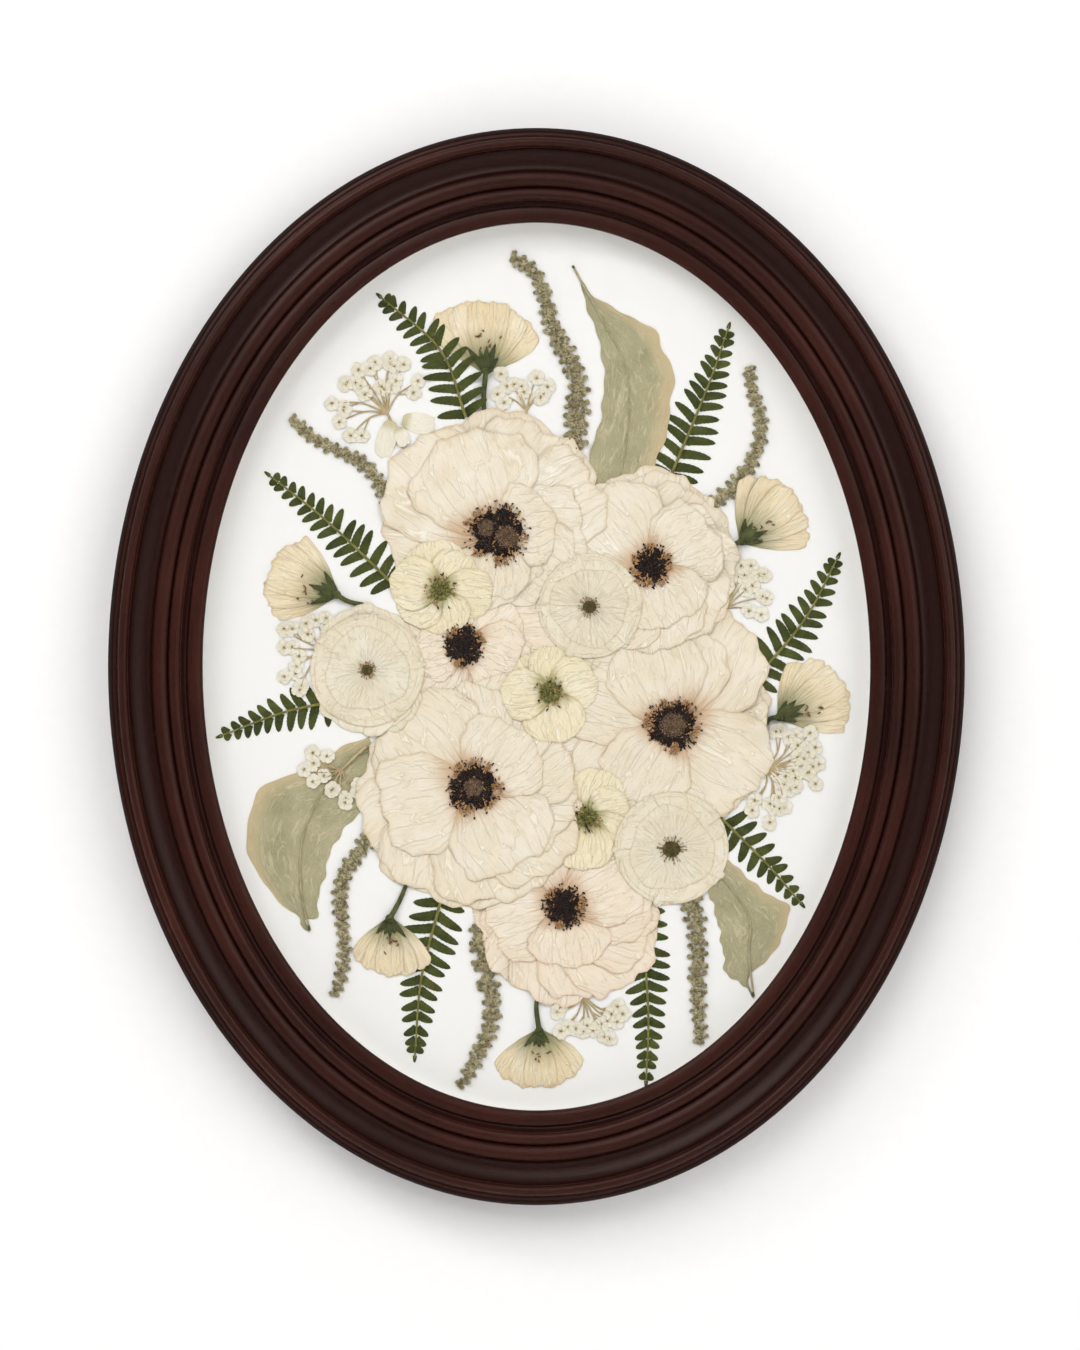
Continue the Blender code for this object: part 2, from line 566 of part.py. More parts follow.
def build_hanger(bench):
    """Make the bowed sawtooth strip and the two nails that hold it."""
    curve = new_flat_curve("hanger", HANGER_THICK)
    add_outline(curve, hanger_outline())
    for side in (-1.0, 1.0):
        radius = NAIL_SHANK_RADIUS + NAIL_GAP
        circle = [(side * NAIL_SPREAD + radius * math.cos(step * math.pi / 6.0),
                   NAIL_RISE + radius * math.sin(step * math.pi / 6.0)) for step in range(12)]
        add_outline(curve, circle)
    mesh = curve_mesh(curve, "hanger")
    flat = NAIL_SPREAD - NAIL_PAD
    for vertex in mesh.vertices:
        inward = max(0.0, 1.0 - abs(vertex.co.x) / (flat * MM))
        vertex.co.z -= HANGER_BOW * MM * (1.0 - (1.0 - inward) ** 2)
    bench.place("hanger", mesh, "steel", (0.0, HANGER_ABOVE_CENTRE, HANGER_BACK + 0.5 * HANGER_THICK))
    head = HANGER_BACK - NAIL_GAP
    head_back = head - NAIL_HEAD_THICK
    nail = turned_mesh("hanger_nail", ((0.0, NAIL_DEPTH), (NAIL_SHANK_RADIUS, NAIL_DEPTH - NAIL_POINT),
                                       (NAIL_SHANK_RADIUS, head), (NAIL_HEAD_RADIUS, head),
                                       (NAIL_HEAD_RADIUS, head_back), (0.0, head_back - NAIL_CROWN)))
    nail_line = HANGER_ABOVE_CENTRE + NAIL_RISE
    bench.place("hanger_nail_left", nail, "steel", (-NAIL_SPREAD, nail_line, 0.0))
    bench.place("hanger_nail_right", nail.copy(), "steel", (NAIL_SPREAD, nail_line, 0.0))


def build_bumpers(bench):
    """Make the two round wall bumpers at the foot of the back."""
    mesh = turned_mesh("bumper", ((0.0, BUMPER_THICK), (BUMPER_RADIUS, BUMPER_THICK),
                                  (BUMPER_RADIUS, BUMPER_CHAMFER), (BUMPER_RADIUS - BUMPER_CHAMFER, 0.0),
                                  (0.0, 0.0)), BUMPER_STEPS)
    height = SIGHT_HALF_HEIGHT + BUMPER_LINE
    y = -height * math.sqrt(1.0 - (BUMPER_X / (SIGHT_HALF_WIDTH + BUMPER_LINE)) ** 2)
    bench.place("bumper_left", mesh, "clear_rubber", (-BUMPER_X, y, 0.0))
    bench.place("bumper_right", mesh.copy(), "clear_rubber", (BUMPER_X, y, 0.0))


def level_height(level):
    """Give the height of the underside of a pressed piece on a level of the bouquet."""
    return FLOWER_BACK + level * LEVEL_PITCH


def petal_reach(angle, petal):
    """Give how far a petal, an ellipse that starts just behind the flower's middle, reaches at an angle."""
    direction, reach, width = petal
    away = angle - math.radians(direction)
    half_length = 0.55 * reach
    middle = reach - half_length
    cos_term = math.cos(away) / half_length
    sin_term = math.sin(away) / (0.5 * width)
    square = cos_term ** 2 + sin_term ** 2
    linear = middle / half_length * cos_term
    constant = (middle / half_length) ** 2 - 1.0
    return (linear + math.sqrt(linear ** 2 - square * constant)) / square


def bloom_outline(centre, petals, disc, steps):
    """Give the outline of an open flower: the reach of its petals, or of its disc, all round."""
    points = []
    for step in range(steps):
        angle = 2.0 * math.pi * step / steps
        wave = disc * (1.0 + 0.02 * math.sin(5.0 * angle) + 0.015 * math.cos(8.0 * angle))
        reach = max([wave] + [petal_reach(angle, petal) for petal in petals])
        points.append((centre[0] + reach * math.cos(angle), centre[1] + reach * math.sin(angle)))
    return points


def build_bloom(bench, name, flower, core_rise, steps, finish):
    """Make an open flower: its pressed petals, with the raised middle joined on."""
    curve = new_flat_curve(name, PETAL_THICK)
    add_outline(curve, bloom_outline(flower["centre"], flower["petals"], flower.get("disc", 0.0), steps))
    back = level_height(flower["level"])
    bloom = bench.place(name, curve_mesh(curve, name), finish, (0.0, 0.0, back + 0.5 * PETAL_THICK))
    core = flower["core"]
    top = back + PETAL_THICK + core_rise
    foot = back + 0.5 * PETAL_THICK
    dome = turned_mesh(f"{name}_core", ((0.0, top), (0.55 * core, top - 0.3 * core_rise), (core, foot),
                                        (0.0, foot)))
    joined = bench.place_cutter(f"{name}_core", dome, (*flower["centre"], 0.0))
    combine(bloom, joined, "UNION")


def stem_piece(calyx, foot):
    """Give the two ends of a short stem's foot, left side first when looking from calyx to foot."""
    along = (Vector(foot) - Vector(calyx)).normalized()
    across = Vector((-along.y, along.x)) * STEM_HALF_WIDTH
    return tuple(Vector(foot) + across), tuple(Vector(foot) - across)


def build_bud(bench, name, bud):
    """Make a flower pressed from the side, petals and stem in one outline."""
    first, last = Vector(bud["petals"][0]), Vector(bud["petals"][-1])
    one, other = stem_piece((first + last) / 2.0, bud["stem"])
    if (Vector(one) - first).length < (Vector(other) - first).length:
        one, other = other, one
    outline = [*bud["petals"], one, other]
    flat_plate(bench, name, outline, level_height(bud["level"]), PETAL_THICK, "yellow_petal")


def midrib_point(fern, part):
    """Give the point and the direction at a part of the way along a fern's midrib."""
    foot, middle, tip = (Vector(fern[key]) for key in ("foot", "middle", "tip"))
    bend = middle * 2.0 - (foot + tip) / 2.0
    point = foot * (1.0 - part) ** 2 + bend * (2.0 * part * (1.0 - part)) + tip * part ** 2
    along = (bend - foot) * (1.0 - part) + (tip - bend) * part
    return point, along.normalized()


def fern_side(fern, side):
    """Give one side of a fern's outline, foot to tip: a notch and a blunt tip for each pinna."""
    points = []
    for pair in range(FERN_PAIRS):
        start = (pair + 0.1) / (FERN_PAIRS + 0.6)
        point, along = midrib_point(fern, start)
        across = Vector((-along.y, along.x)) * side
        reach = fern["reach"] * (1.0 - 0.78 * start ** 1.6)
        width = 0.62 * (midrib_point(fern, start + 1.0 / (FERN_PAIRS + 0.6))[0] - point).length
        lean = 0.22 * reach
        points.append(tuple(point + across * STEM_HALF_WIDTH))
        points.append(tuple(point + across * reach + along * lean))
        points.append(tuple(point + across * reach * 0.96 + along * (lean + width)))
    return points


def build_fern(bench, name, fern):
    """Make a frond as one flat outline round its midrib."""
    left = fern_side(fern, 1.0)
    right = fern_side(fern, -1.0)
    tip = tuple(fern["tip"])
    outline = [*right, tip, *reversed(left)]
    flat_plate(bench, name, outline, level_height(fern["level"]), PETAL_THICK, "fern_green")


def way_point(way, part):
    """Give a point on the smooth curve through a strand's points."""
    place = part * (len(way) - 1)
    index = min(int(place), len(way) - 2)
    rest = place - index
    last = len(way) - 1
    before, start, end, after = (Vector(way[min(max(index + step, 0), last)]) for step in (-1, 0, 1, 2))
    return 0.5 * (2.0 * start + (end - before) * rest
                  + (2.0 * before - 5.0 * start + 4.0 * end - after) * rest ** 2
                  + (3.0 * start - before - 3.0 * end + after) * rest ** 3)


def build_strand(bench, name, strand):
    """Make a knobbly strand: a tube whose radius swells and shrinks, pressed flat."""
    curve = bpy.data.curves.new(name, "CURVE")
    curve.dimensions = "3D"
    curve.bevel_depth = MM
    curve.bevel_resolution = 1
    curve.use_fill_caps = True
    spline = curve.splines.new("POLY")
    spline.points.add(STRAND_STATIONS)
    thin, wide = strand["widths"]
    for station, point in enumerate(spline.points):
        part = station / STRAND_STATIONS
        spot = way_point(strand["way"], part)
        knob = 1.08 if station % 2 else 0.9
        point.co = (spot.x * MM, spot.y * MM, 0.0, 1.0)
        point.radius = 0.5 * knob * (thin + (wide - thin) * min(1.0, 1.6 * part))
    mesh = curve_mesh(curve, name)
    top = max(vertex.co.z for vertex in mesh.vertices)
    mesh.transform(Matrix.Scale(0.5 * STRAND_THICK * MM / top, 4, (0.0, 0.0, 1.0)))
    mesh.shade_smooth()
    bench.place(name, mesh, "khaki_strand", (0.0, 0.0, FLOWER_BACK + 0.5 * STRAND_THICK))


def ray_outline(hub, end, floret):
    """Give one ray of an umbel, out along its right side, round its floret and back."""
    along = (Vector(end) - Vector(hub)).normalized()
    across = Vector((-along.y, along.x))
    root = Vector(hub) + along * HUB_RADIUS
    points = [tuple(root - across * RAY_HALF_WIDTH)]
    for turn in ((-150.0, -75.0, 0.0, 75.0, 150.0) if floret else (-90.0, 90.0)):
        angle = math.radians(turn)
        radius = FLORET_RADIUS if floret else STEM_HALF_WIDTH
        points.append(tuple(Vector(end) + (along * math.cos(angle) + across * math.sin(angle)) * radius))
    points.append(tuple(root + across * RAY_HALF_WIDTH))
    return points


def build_umbel(bench, name, umbel):
    """Make a spray as one flat outline: a stem and thin rays, each with a floret at its end."""
    hub = Vector(umbel["hub"])
    ends = [(Vector(floret), True) for floret in umbel["florets"]] + [(Vector(umbel["foot"]), False)]
    ends.sort(key=lambda end: math.atan2(end[0].y - hub.y, end[0].x - hub.x))
    outline = []
    for end, floret in ends:
        outline += ray_outline(hub, end, floret)
    flat_plate(bench, name, outline, level_height(umbel["level"]), PETAL_THICK, "white_floret")


def build_bouquet(bench):
    """Lay out all pressed flowers, leaves, ferns and strands."""
    for name, flower in ANEMONES.items():
        build_bloom(bench, name, flower, ANEMONE_RISE, BLOOM_STEPS, "cream_petal")
    for name, flower in RANUNCULI.items():
        build_bloom(bench, name, flower, RANUNCULUS_RISE, DISC_STEPS, "cream_petal")
    for name, flower in HELLEBORES.items():
        build_bloom(bench, name, flower, HELLEBORE_RISE, DISC_STEPS, "yellow_petal")
    for name, bud in BUDS.items():
        build_bud(bench, name, bud)
    for name, fern in FERNS.items():
        build_fern(bench, name, fern)
    for name, strand in STRANDS.items():
        build_strand(bench, name, strand)
    for name, leaf in LEAVES.items():
        flat_plate(bench, name, leaf["outline"], level_height(leaf["level"]), PETAL_THICK, "grey_leaf")
    for name, umbel in UMBELS.items():
        build_umbel(bench, name, umbel)


def main():
    """Build the frame, its fittings and the bouquet."""
    clear_scene()
    bench = Workbench()
    build_moulding(bench)
    build_filling(bench)
    build_points(bench)
    build_hanger(bench)
    build_bumpers(bench)
    build_bouquet(bench)
    bpy.context.view_layer.update()


main()
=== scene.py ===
"""Finish of the oval pressed flower frame: moulding, glazing, back fittings and the pressed bouquet.

The bouquet is laid as on a workbench: bench coordinates are millimetres, X to the right, Y to the top of
the oval and Z the height above the wall plane. to_world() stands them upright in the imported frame.
"""

import logging
import math
from dataclasses import dataclass, field
from enum import Enum
from functools import cache
from typing import ClassVar, Sequence

import bpy
import numpy as np
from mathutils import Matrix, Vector


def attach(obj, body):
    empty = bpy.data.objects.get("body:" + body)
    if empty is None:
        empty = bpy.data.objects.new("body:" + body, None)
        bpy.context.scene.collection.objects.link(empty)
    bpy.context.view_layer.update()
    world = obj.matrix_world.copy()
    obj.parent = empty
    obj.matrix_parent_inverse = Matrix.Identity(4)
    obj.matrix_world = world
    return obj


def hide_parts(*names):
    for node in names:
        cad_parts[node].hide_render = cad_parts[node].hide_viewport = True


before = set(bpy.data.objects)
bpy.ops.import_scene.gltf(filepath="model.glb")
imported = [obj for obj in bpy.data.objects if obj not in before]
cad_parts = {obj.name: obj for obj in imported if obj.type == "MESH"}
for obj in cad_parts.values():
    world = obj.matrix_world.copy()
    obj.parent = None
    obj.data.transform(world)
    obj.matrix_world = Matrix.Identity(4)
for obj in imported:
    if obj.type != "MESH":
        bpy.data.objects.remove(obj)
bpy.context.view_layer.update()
LOG = logging.getLogger("pressed_flower_frame")

MM = 0.001
CENTRE_BELOW_HANGER = 221.0
SIGHT_HALF_WIDTH = 150.0
SIGHT_HALF_HEIGHT = 199.5
BOARD_FRONT = 10.0
FULL_TURN = 2.0 * math.pi
GOLDEN_TURN = 2.399963
DRAWN_TURN = 6.28
DRAWN_PHASE = 6.0
SHEET_GAP = 0.03
CLUMP = 16
VALUE_NAMES = ("across", "along", "tone", "margin")

Colour = tuple[float, float, float]
Point2 = tuple[float, float]
Socket = bpy.types.NodeSocket


def linear(colour: Colour) -> Colour:
    """Turn a display colour of 0 to 255 into scene-linear values.

    Args:
        colour: Red, green and blue as seen on a display.

    Returns:
        The three linear values.
    """
    def channel(value: float) -> float:
        """Undo the display curve for one channel."""
        part = value / 255.0
        return part / 12.92 if part <= 0.04045 else ((part + 0.055) / 1.055) ** 2.4
    return channel(colour[0]), channel(colour[1]), channel(colour[2])


def to_world(bench: np.ndarray) -> np.ndarray:
    """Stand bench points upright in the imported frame, in metres."""
    return np.column_stack([bench[:, 0], -bench[:, 2], bench[:, 1] - CENTRE_BELOW_HANGER]) * MM


class Wiring:
    """Adds and links the nodes of one node tree."""

    def __init__(self, tree: bpy.types.NodeTree) -> None:
        """Keep the tree and place its nodes in a row."""
        self.tree = tree
        self.count = 0

    def feed(self, node: bpy.types.Node, inputs: dict) -> None:
        """Link a node's inputs where a socket is given, and set them where a value is."""
        for key, value in inputs.items():
            if isinstance(value, Socket):
                self.tree.links.new(value, node.inputs[key])
            else:
                node.inputs[key].default_value = value

    def add(self, kind: str, inputs: dict | None = None, **settings: object) -> bpy.types.Node:
        """Add a node.

        Args:
            kind: The node's type name, without ShaderNode.
            inputs: Socket name or number to a value, or to a socket that is linked in.
            settings: Properties of the node.

        Returns:
            The new node.
        """
        node = self.tree.nodes.new("ShaderNode" + kind)
        node.location = (180.0 * (self.count % 12), -220.0 * (self.count // 12))
        self.count += 1
        for key, value in settings.items():
            setattr(node, key, value)
        self.feed(node, inputs or {})
        return node

    def math(self, operation: str, *values: object, clamp: bool = False) -> Socket:
        """Add a Math node and give its result."""
        return self.add("Math", dict(enumerate(values)), operation=operation, use_clamp=clamp).outputs[0]

    def scaled(self, value: object, factor: object) -> Socket:
        """Multiply a value."""
        return self.math("MULTIPLY", value, factor)

    def mix(self, factor: object, first: object, second: object) -> Socket:
        """Add a colour Mix node and give its result; plain colours are linear."""
        colours = {slot: value if isinstance(value, Socket) else (*value, 1.0)
                   for slot, value in ((6, first), (7, second))}
        return self.add("Mix", {0: factor, **colours}, data_type="RGBA").outputs[2]

    def tint(self, base: Socket, mask: Socket, share: float, colour: Colour) -> Socket:
        """Lay a display colour over a base, by a share of a mask."""
        return self.mix(self.scaled(mask, share), base, linear(colour))

    def ramp(self, value: Socket, low: float, high: float) -> Socket:
        """Stretch a value smoothly from 0 at low to 1 at high."""
        return self.add("MapRange", {0: value, 1: low, 2: high}, interpolation_type="SMOOTHSTEP").outputs[0]

    def attribute(self, name: str) -> Socket:
        """Read a number that the mesh carries."""
        return self.add("Attribute", attribute_name=name).outputs["Fac"]

    def object_coordinates(self) -> Socket:
        """Read the object's own coordinates."""
        return self.add("TexCoord").outputs["Object"]

    def noise(self, place: Socket, scale: object, detail: float, **inputs: float) -> Socket:
        """Add a noise texture and give its value."""
        noise = self.add("TexNoise", {"Vector": place, "Scale": scale, "Detail": detail, **inputs})
        return noise.outputs["Fac"]

    def bump(self, height: Socket, strength: float, depth: float) -> Socket:
        """Turn a height into a normal; the depth is in metres."""
        return self.add("Bump", {"Strength": strength, "Distance": depth, "Height": height}).outputs[0]

    def mottle(self, place: Socket, scale: float, contrast: float, light: Colour,
               dark: Colour) -> bpy.types.Node:
        """Place the soft patches between two display colours."""
        return self.add("Group", {"Vector": place, "Scale": scale, "Contrast": contrast,
                                  "Light": colour4(light), "Dark": colour4(dark)}, node_tree=MOTTLE)

    def creases(self, stretch: float, scale: float, width: float) -> Socket:
        """Place the creases of a sheet that carries across, along and tone."""
        places = {name: self.attribute(value)
                  for name, value in (("Across", "across"), ("Along", "along"), ("Seed", "tone"))}
        return self.add("Group", {**places, "Stretch": stretch, "Scale": scale, "Width": width},
                        node_tree=CREASE).outputs["Crease"]

    def let_through(self, shader: bpy.types.Node, passing: Socket) -> None:
        """Let rays pass unbent, where the value is 1, and shade the others."""
        clear = self.add("BsdfTransparent")
        mixed = self.add("MixShader", {0: passing, 1: shader.outputs[0], 2: clear.outputs[0]})
        self.feed(self.tree.nodes["Material Output"], {"Surface": mixed.outputs[0]})


def new_group(name: str, inputs: dict[str, object], outputs: Sequence[str]) -> tuple:
    """Make an empty shader node group with named sockets.

    Args:
        name: The group's name.
        inputs: Each input's default: a number, a colour, or None for a vector.
        outputs: The outputs; the one named Colour is a colour, and the others are numbers.

    Returns:
        The wiring of the group, its inputs by name and its output node.
    """
    tree = bpy.data.node_groups.new(name, "ShaderNodeTree")
    for label, default in inputs.items():
        kind = "Vector" if default is None else "Float" if isinstance(default, float) else "Color"
        socket = tree.interface.new_socket(label, in_out="INPUT", socket_type="NodeSocket" + kind)
        if default is not None:
            socket.default_value = default
    for label in outputs:
        kind = "Color" if label == "Colour" else "Float"
        tree.interface.new_socket(label, in_out="OUTPUT", socket_type="NodeSocket" + kind)
    wiring = Wiring(tree)
    return wiring, tree.nodes.new("NodeGroupInput").outputs, tree.nodes.new("NodeGroupOutput")


def mottle_group() -> bpy.types.NodeTree:
    """Build the group that drifts between two colours in soft, uneven patches.

    Returns:
        The node group, with outputs Colour and Patch.
    """
    wiring, given, end = new_group(
        "soft_mottle", {"Vector": None, "Scale": 60.0, "Contrast": 1.0, "Light": (1.0, 1.0, 1.0, 1.0),
                        "Dark": (0.5, 0.5, 0.5, 1.0)}, ("Colour", "Patch"))
    noise = wiring.noise(given["Vector"], given["Scale"], 5.0, Roughness=0.6)
    spread = wiring.scaled(wiring.math("SUBTRACT", noise, 0.5), given["Contrast"])
    patch = wiring.math("ADD", spread, 0.5, clamp=True)
    wiring.feed(end, {"Colour": wiring.mix(patch, given["Light"], given["Dark"]), "Patch": patch})
    return wiring.tree


def crease_group() -> bpy.types.NodeTree:
    """Build the group that draws thin creases, as pressed tissue has, running along one direction.

    Returns:
        The node group, with the output Crease: 1 on a crease and 0 beside it.
    """
    wiring, given, end = new_group(
        "tissue_crease", {"Across": 0.0, "Along": 0.0, "Seed": 0.0, "Stretch": 4.0, "Scale": 3.0,
                          "Width": 0.05}, ("Crease",))
    place = wiring.add("CombineXYZ", {0: wiring.scaled(given["Across"], given["Stretch"]), 1: given["Along"],
                                      2: wiring.scaled(given["Seed"], 37.0)}).outputs[0]
    noise = wiring.add("TexNoise", {"Vector": place, "Scale": given["Scale"], "Detail": 2.0})
    drift = wiring.add("VectorMath", {0: noise.outputs["Color"], 1: (0.55, 0.55, 0.0)}, operation="MULTIPLY")
    bent = wiring.add("VectorMath", {0: place, 1: drift.outputs[0]}, operation="ADD").outputs[0]
    cells = wiring.add("TexVoronoi", {"Vector": bent, "Scale": given["Scale"]}, feature="DISTANCE_TO_EDGE")
    patches = wiring.noise(bent, wiring.scaled(given["Scale"], 1.7), 1.0)
    gap = wiring.scaled(wiring.math("MAXIMUM", wiring.math("SUBTRACT", 0.62, patches), 0.0), 1.4)
    distance = wiring.math("ADD", cells.outputs["Distance"], wiring.scaled(gap, gap))
    ratio = wiring.math("DIVIDE", distance, given["Width"])
    wiring.feed(end, {"Crease": wiring.math("SUBTRACT", 1.0, ratio, clamp=True)})
    return wiring.tree


def wear_group() -> bpy.types.NodeTree:
    """Build the group that gives a broken line of wear where a mask says an edge is.

    Returns:
        The node group, with the output Worn.
    """
    wiring, given, end = new_group(
        "edge_wear", {"Vector": None, "Edge": 0.0, "Scale": 90.0, "Amount": 0.5}, ("Worn",))
    noise = wiring.noise(given["Vector"], given["Scale"], 6.0, Roughness=0.7)
    over = wiring.math("SUBTRACT", noise, wiring.math("SUBTRACT", 1.0, given["Amount"]))
    sharp = wiring.math("MULTIPLY", over, 6.0, clamp=True)
    wiring.feed(end, {"Worn": wiring.scaled(sharp, given["Edge"])})
    return wiring.tree


MOTTLE = mottle_group()
CREASE = crease_group()
WEAR = wear_group()


def new_material(name: str) -> tuple[bpy.types.Material, Wiring, bpy.types.Node]:
    """Make a material with a Principled shader.

    Args:
        name: The material's name.

    Returns:
        The material, its wiring and the shader node.
    """
    material = bpy.data.materials.new(name)
    material.use_nodes = True
    wiring = Wiring(material.node_tree)
    return material, wiring, material.node_tree.nodes["Principled BSDF"]


def colour4(colour: Colour) -> tuple[float, float, float, float]:
    """Give a display colour as a linear colour with alpha."""
    return (*linear(colour), 1.0)


@dataclass(frozen=True)
class PetalFinish:
    """Dry petal tissue: cream mottling, raised creases with a painted highlight along each and painted shade
    beside it, a thin tinted rim and a stained foot.
    """

    name: str
    light: Colour = (235, 227, 212)
    dark: Colour = (226, 212, 187)
    rim: Colour = (190, 162, 118)
    foot: Colour = (226, 212, 186)
    stain: Colour = (190, 142, 98)
    foot_reach: float = 0.35
    stain_reach: float = 0.0
    crease_depth: float = 0.00036
    # vein also paints the shade beside each crease; ridge is the painted highlight along each crease
    vein: Colour = (206, 184, 142)
    ridge: Colour = (247, 243, 232)
    crease_lines: tuple = (2.6, 1.9, 0.09)
    vein_lines: tuple = (4.6, 4.2, 0.11)
    side_rim: float = 34.0
    tip_rim: float = 60.0

    def build(self) -> bpy.types.Material:
        """Make the material.

        Returns:
            The petal material, which reads the mesh's across, along and tone values.
        """
        material, wiring, shader = new_material(self.name)
        along = wiring.attribute("along")
        place = wiring.object_coordinates()
        line, vein = wiring.creases(*self.crease_lines), wiring.creases(*self.vein_lines)
        colour = wiring.mottle(place, 70.0, 2.2, self.light, self.dark).outputs["Colour"]
        colour = wiring.tint(colour, wiring.attribute("tone"), 0.45, self.dark)
        colour = wiring.tint(colour, vein, 0.16, self.vein)
        # painted shade beside each crease line, in the vein colour
        painted_crease_shade = wiring.math("SUBTRACT", wiring.ramp(line, 0.0, 0.3), wiring.ramp(line, 0.35, 0.75))
        colour = wiring.tint(colour, painted_crease_shade, 0.32, self.vein)
        # painted highlight along the middle of each crease
        colour = wiring.tint(colour, wiring.ramp(line, 0.45, 0.9), 0.45, self.ridge)
        side = wiring.math("POWER", wiring.math("ABSOLUTE", wiring.attribute("across")), self.side_rim)
        edge = wiring.math("MAXIMUM", side, wiring.math("POWER", along, self.tip_rim))
        colour = wiring.tint(colour, edge, 0.62, self.rim)
        foot = wiring.ramp(along, self.foot_reach, self.foot_reach * 0.2)
        colour = wiring.tint(colour, foot, 0.75, self.foot)
        if self.stain_reach > 0.0:
            uneven = wiring.math("ADD", along, wiring.scaled(vein, -0.06))
            stain = wiring.ramp(uneven, self.stain_reach + 0.001, self.stain_reach * 0.25)
            colour = wiring.tint(colour, stain, 0.62, self.stain)
        relief = wiring.math("ADD", line, wiring.scaled(vein, 0.3))
        height = wiring.math("ADD", relief, wiring.scaled(wiring.noise(place, 900.0, 3.0), 0.25))
        wiring.feed(shader, {"Base Color": colour, "Normal": wiring.bump(height, 0.8, self.crease_depth),
                             "Roughness": 0.72, "Specular IOR Level": 0.25})
        return material


@dataclass(frozen=True)
class SpeckFinish:
    """Dry plant matter in small lumps: anthers, bracts, nectaries, stems."""

    name: str
    light: Colour
    dark: Colour
    scale: float
    tone_share: float = 0.6
    grit_scale: float = 2200.0
    grit_depth: float = 0.0002

    def build(self) -> bpy.types.Material:
        """Make the material.

        Returns:
            The speckled material, which reads the mesh's tone value.
        """
        material, wiring, shader = new_material(self.name)
        place = wiring.object_coordinates()
        mottle = wiring.mottle(place, self.scale, 2.5, self.light, self.dark)
        colour = wiring.tint(mottle.outputs["Colour"], wiring.attribute("tone"), self.tone_share, self.dark)
        grit = wiring.bump(wiring.noise(place, self.grit_scale, 3.0), 0.6, self.grit_depth)
        wiring.feed(shader, {"Base Color": colour, "Normal": grit, "Roughness": 0.75,
                             "Specular IOR Level": 0.25})
        return material


@dataclass(frozen=True)
class LeafFinish:
    """A dried leaf blade: two drifting greens, a paler midrib, side veins and a browned margin."""

    name: str
    light: Colour
    dark: Colour
    vein: Colour
    margin: Colour
    vein_count: float = 9.0
    vein_share: float = 0.5
    margin_share: float = 0.5
    midrib: float = 1.0
    crinkle: float = 0.0
    drift: float = 2.6
    slant: float = 0.35
    net_scale: float = 700.0
    net_share: float = 0.3
    crease_lines: tuple = (0.7, 6.5, 0.13)

    def build(self) -> bpy.types.Material:
        """Make the material.

        Returns:
            The leaf material, which reads the mesh's across, along, tone and margin values.
        """
        material, wiring, shader = new_material(self.name)
        place = wiring.object_coordinates()
        spread = wiring.math("ABSOLUTE", wiring.attribute("across"))
        slant = wiring.math("SUBTRACT", wiring.attribute("along"), wiring.scaled(spread, self.slant))
        wave = wiring.math("FRACT", wiring.scaled(slant, self.vein_count))
        side_vein = wiring.ramp(wiring.math("ABSOLUTE", wiring.math("SUBTRACT", wave, 0.5)), 0.46, 0.5)
        midrib = wiring.scaled(wiring.ramp(spread, 0.05, 0.0), self.midrib)
        veins = wiring.math("MAXIMUM", wiring.scaled(side_vein, 0.6), midrib)
        net = wiring.add("TexVoronoi", {"Vector": place, "Scale": self.net_scale}, feature="DISTANCE_TO_EDGE")
        net_lines = wiring.scaled(wiring.ramp(net.outputs["Distance"], 0.12, 0.0), self.net_share)
        lines = wiring.math("MAXIMUM", veins, wiring.scaled(wiring.creases(*self.crease_lines), self.crinkle))
        colour = wiring.mottle(place, 90.0, self.drift, self.light, self.dark).outputs["Colour"]
        colour = wiring.tint(colour, wiring.attribute("tone"), 0.5, self.dark)
        colour = wiring.tint(colour, wiring.math("MAXIMUM", lines, net_lines), self.vein_share, self.vein)
        colour = wiring.tint(colour, wiring.attribute("margin"), self.margin_share, self.margin)
        relief = wiring.bump(wiring.math("ADD", net_lines, lines), 0.7, 0.0003)
        wiring.feed(shader, {"Base Color": colour, "Normal": relief, "Roughness": 0.68,
                             "Specular IOR Level": 0.12})
        return material


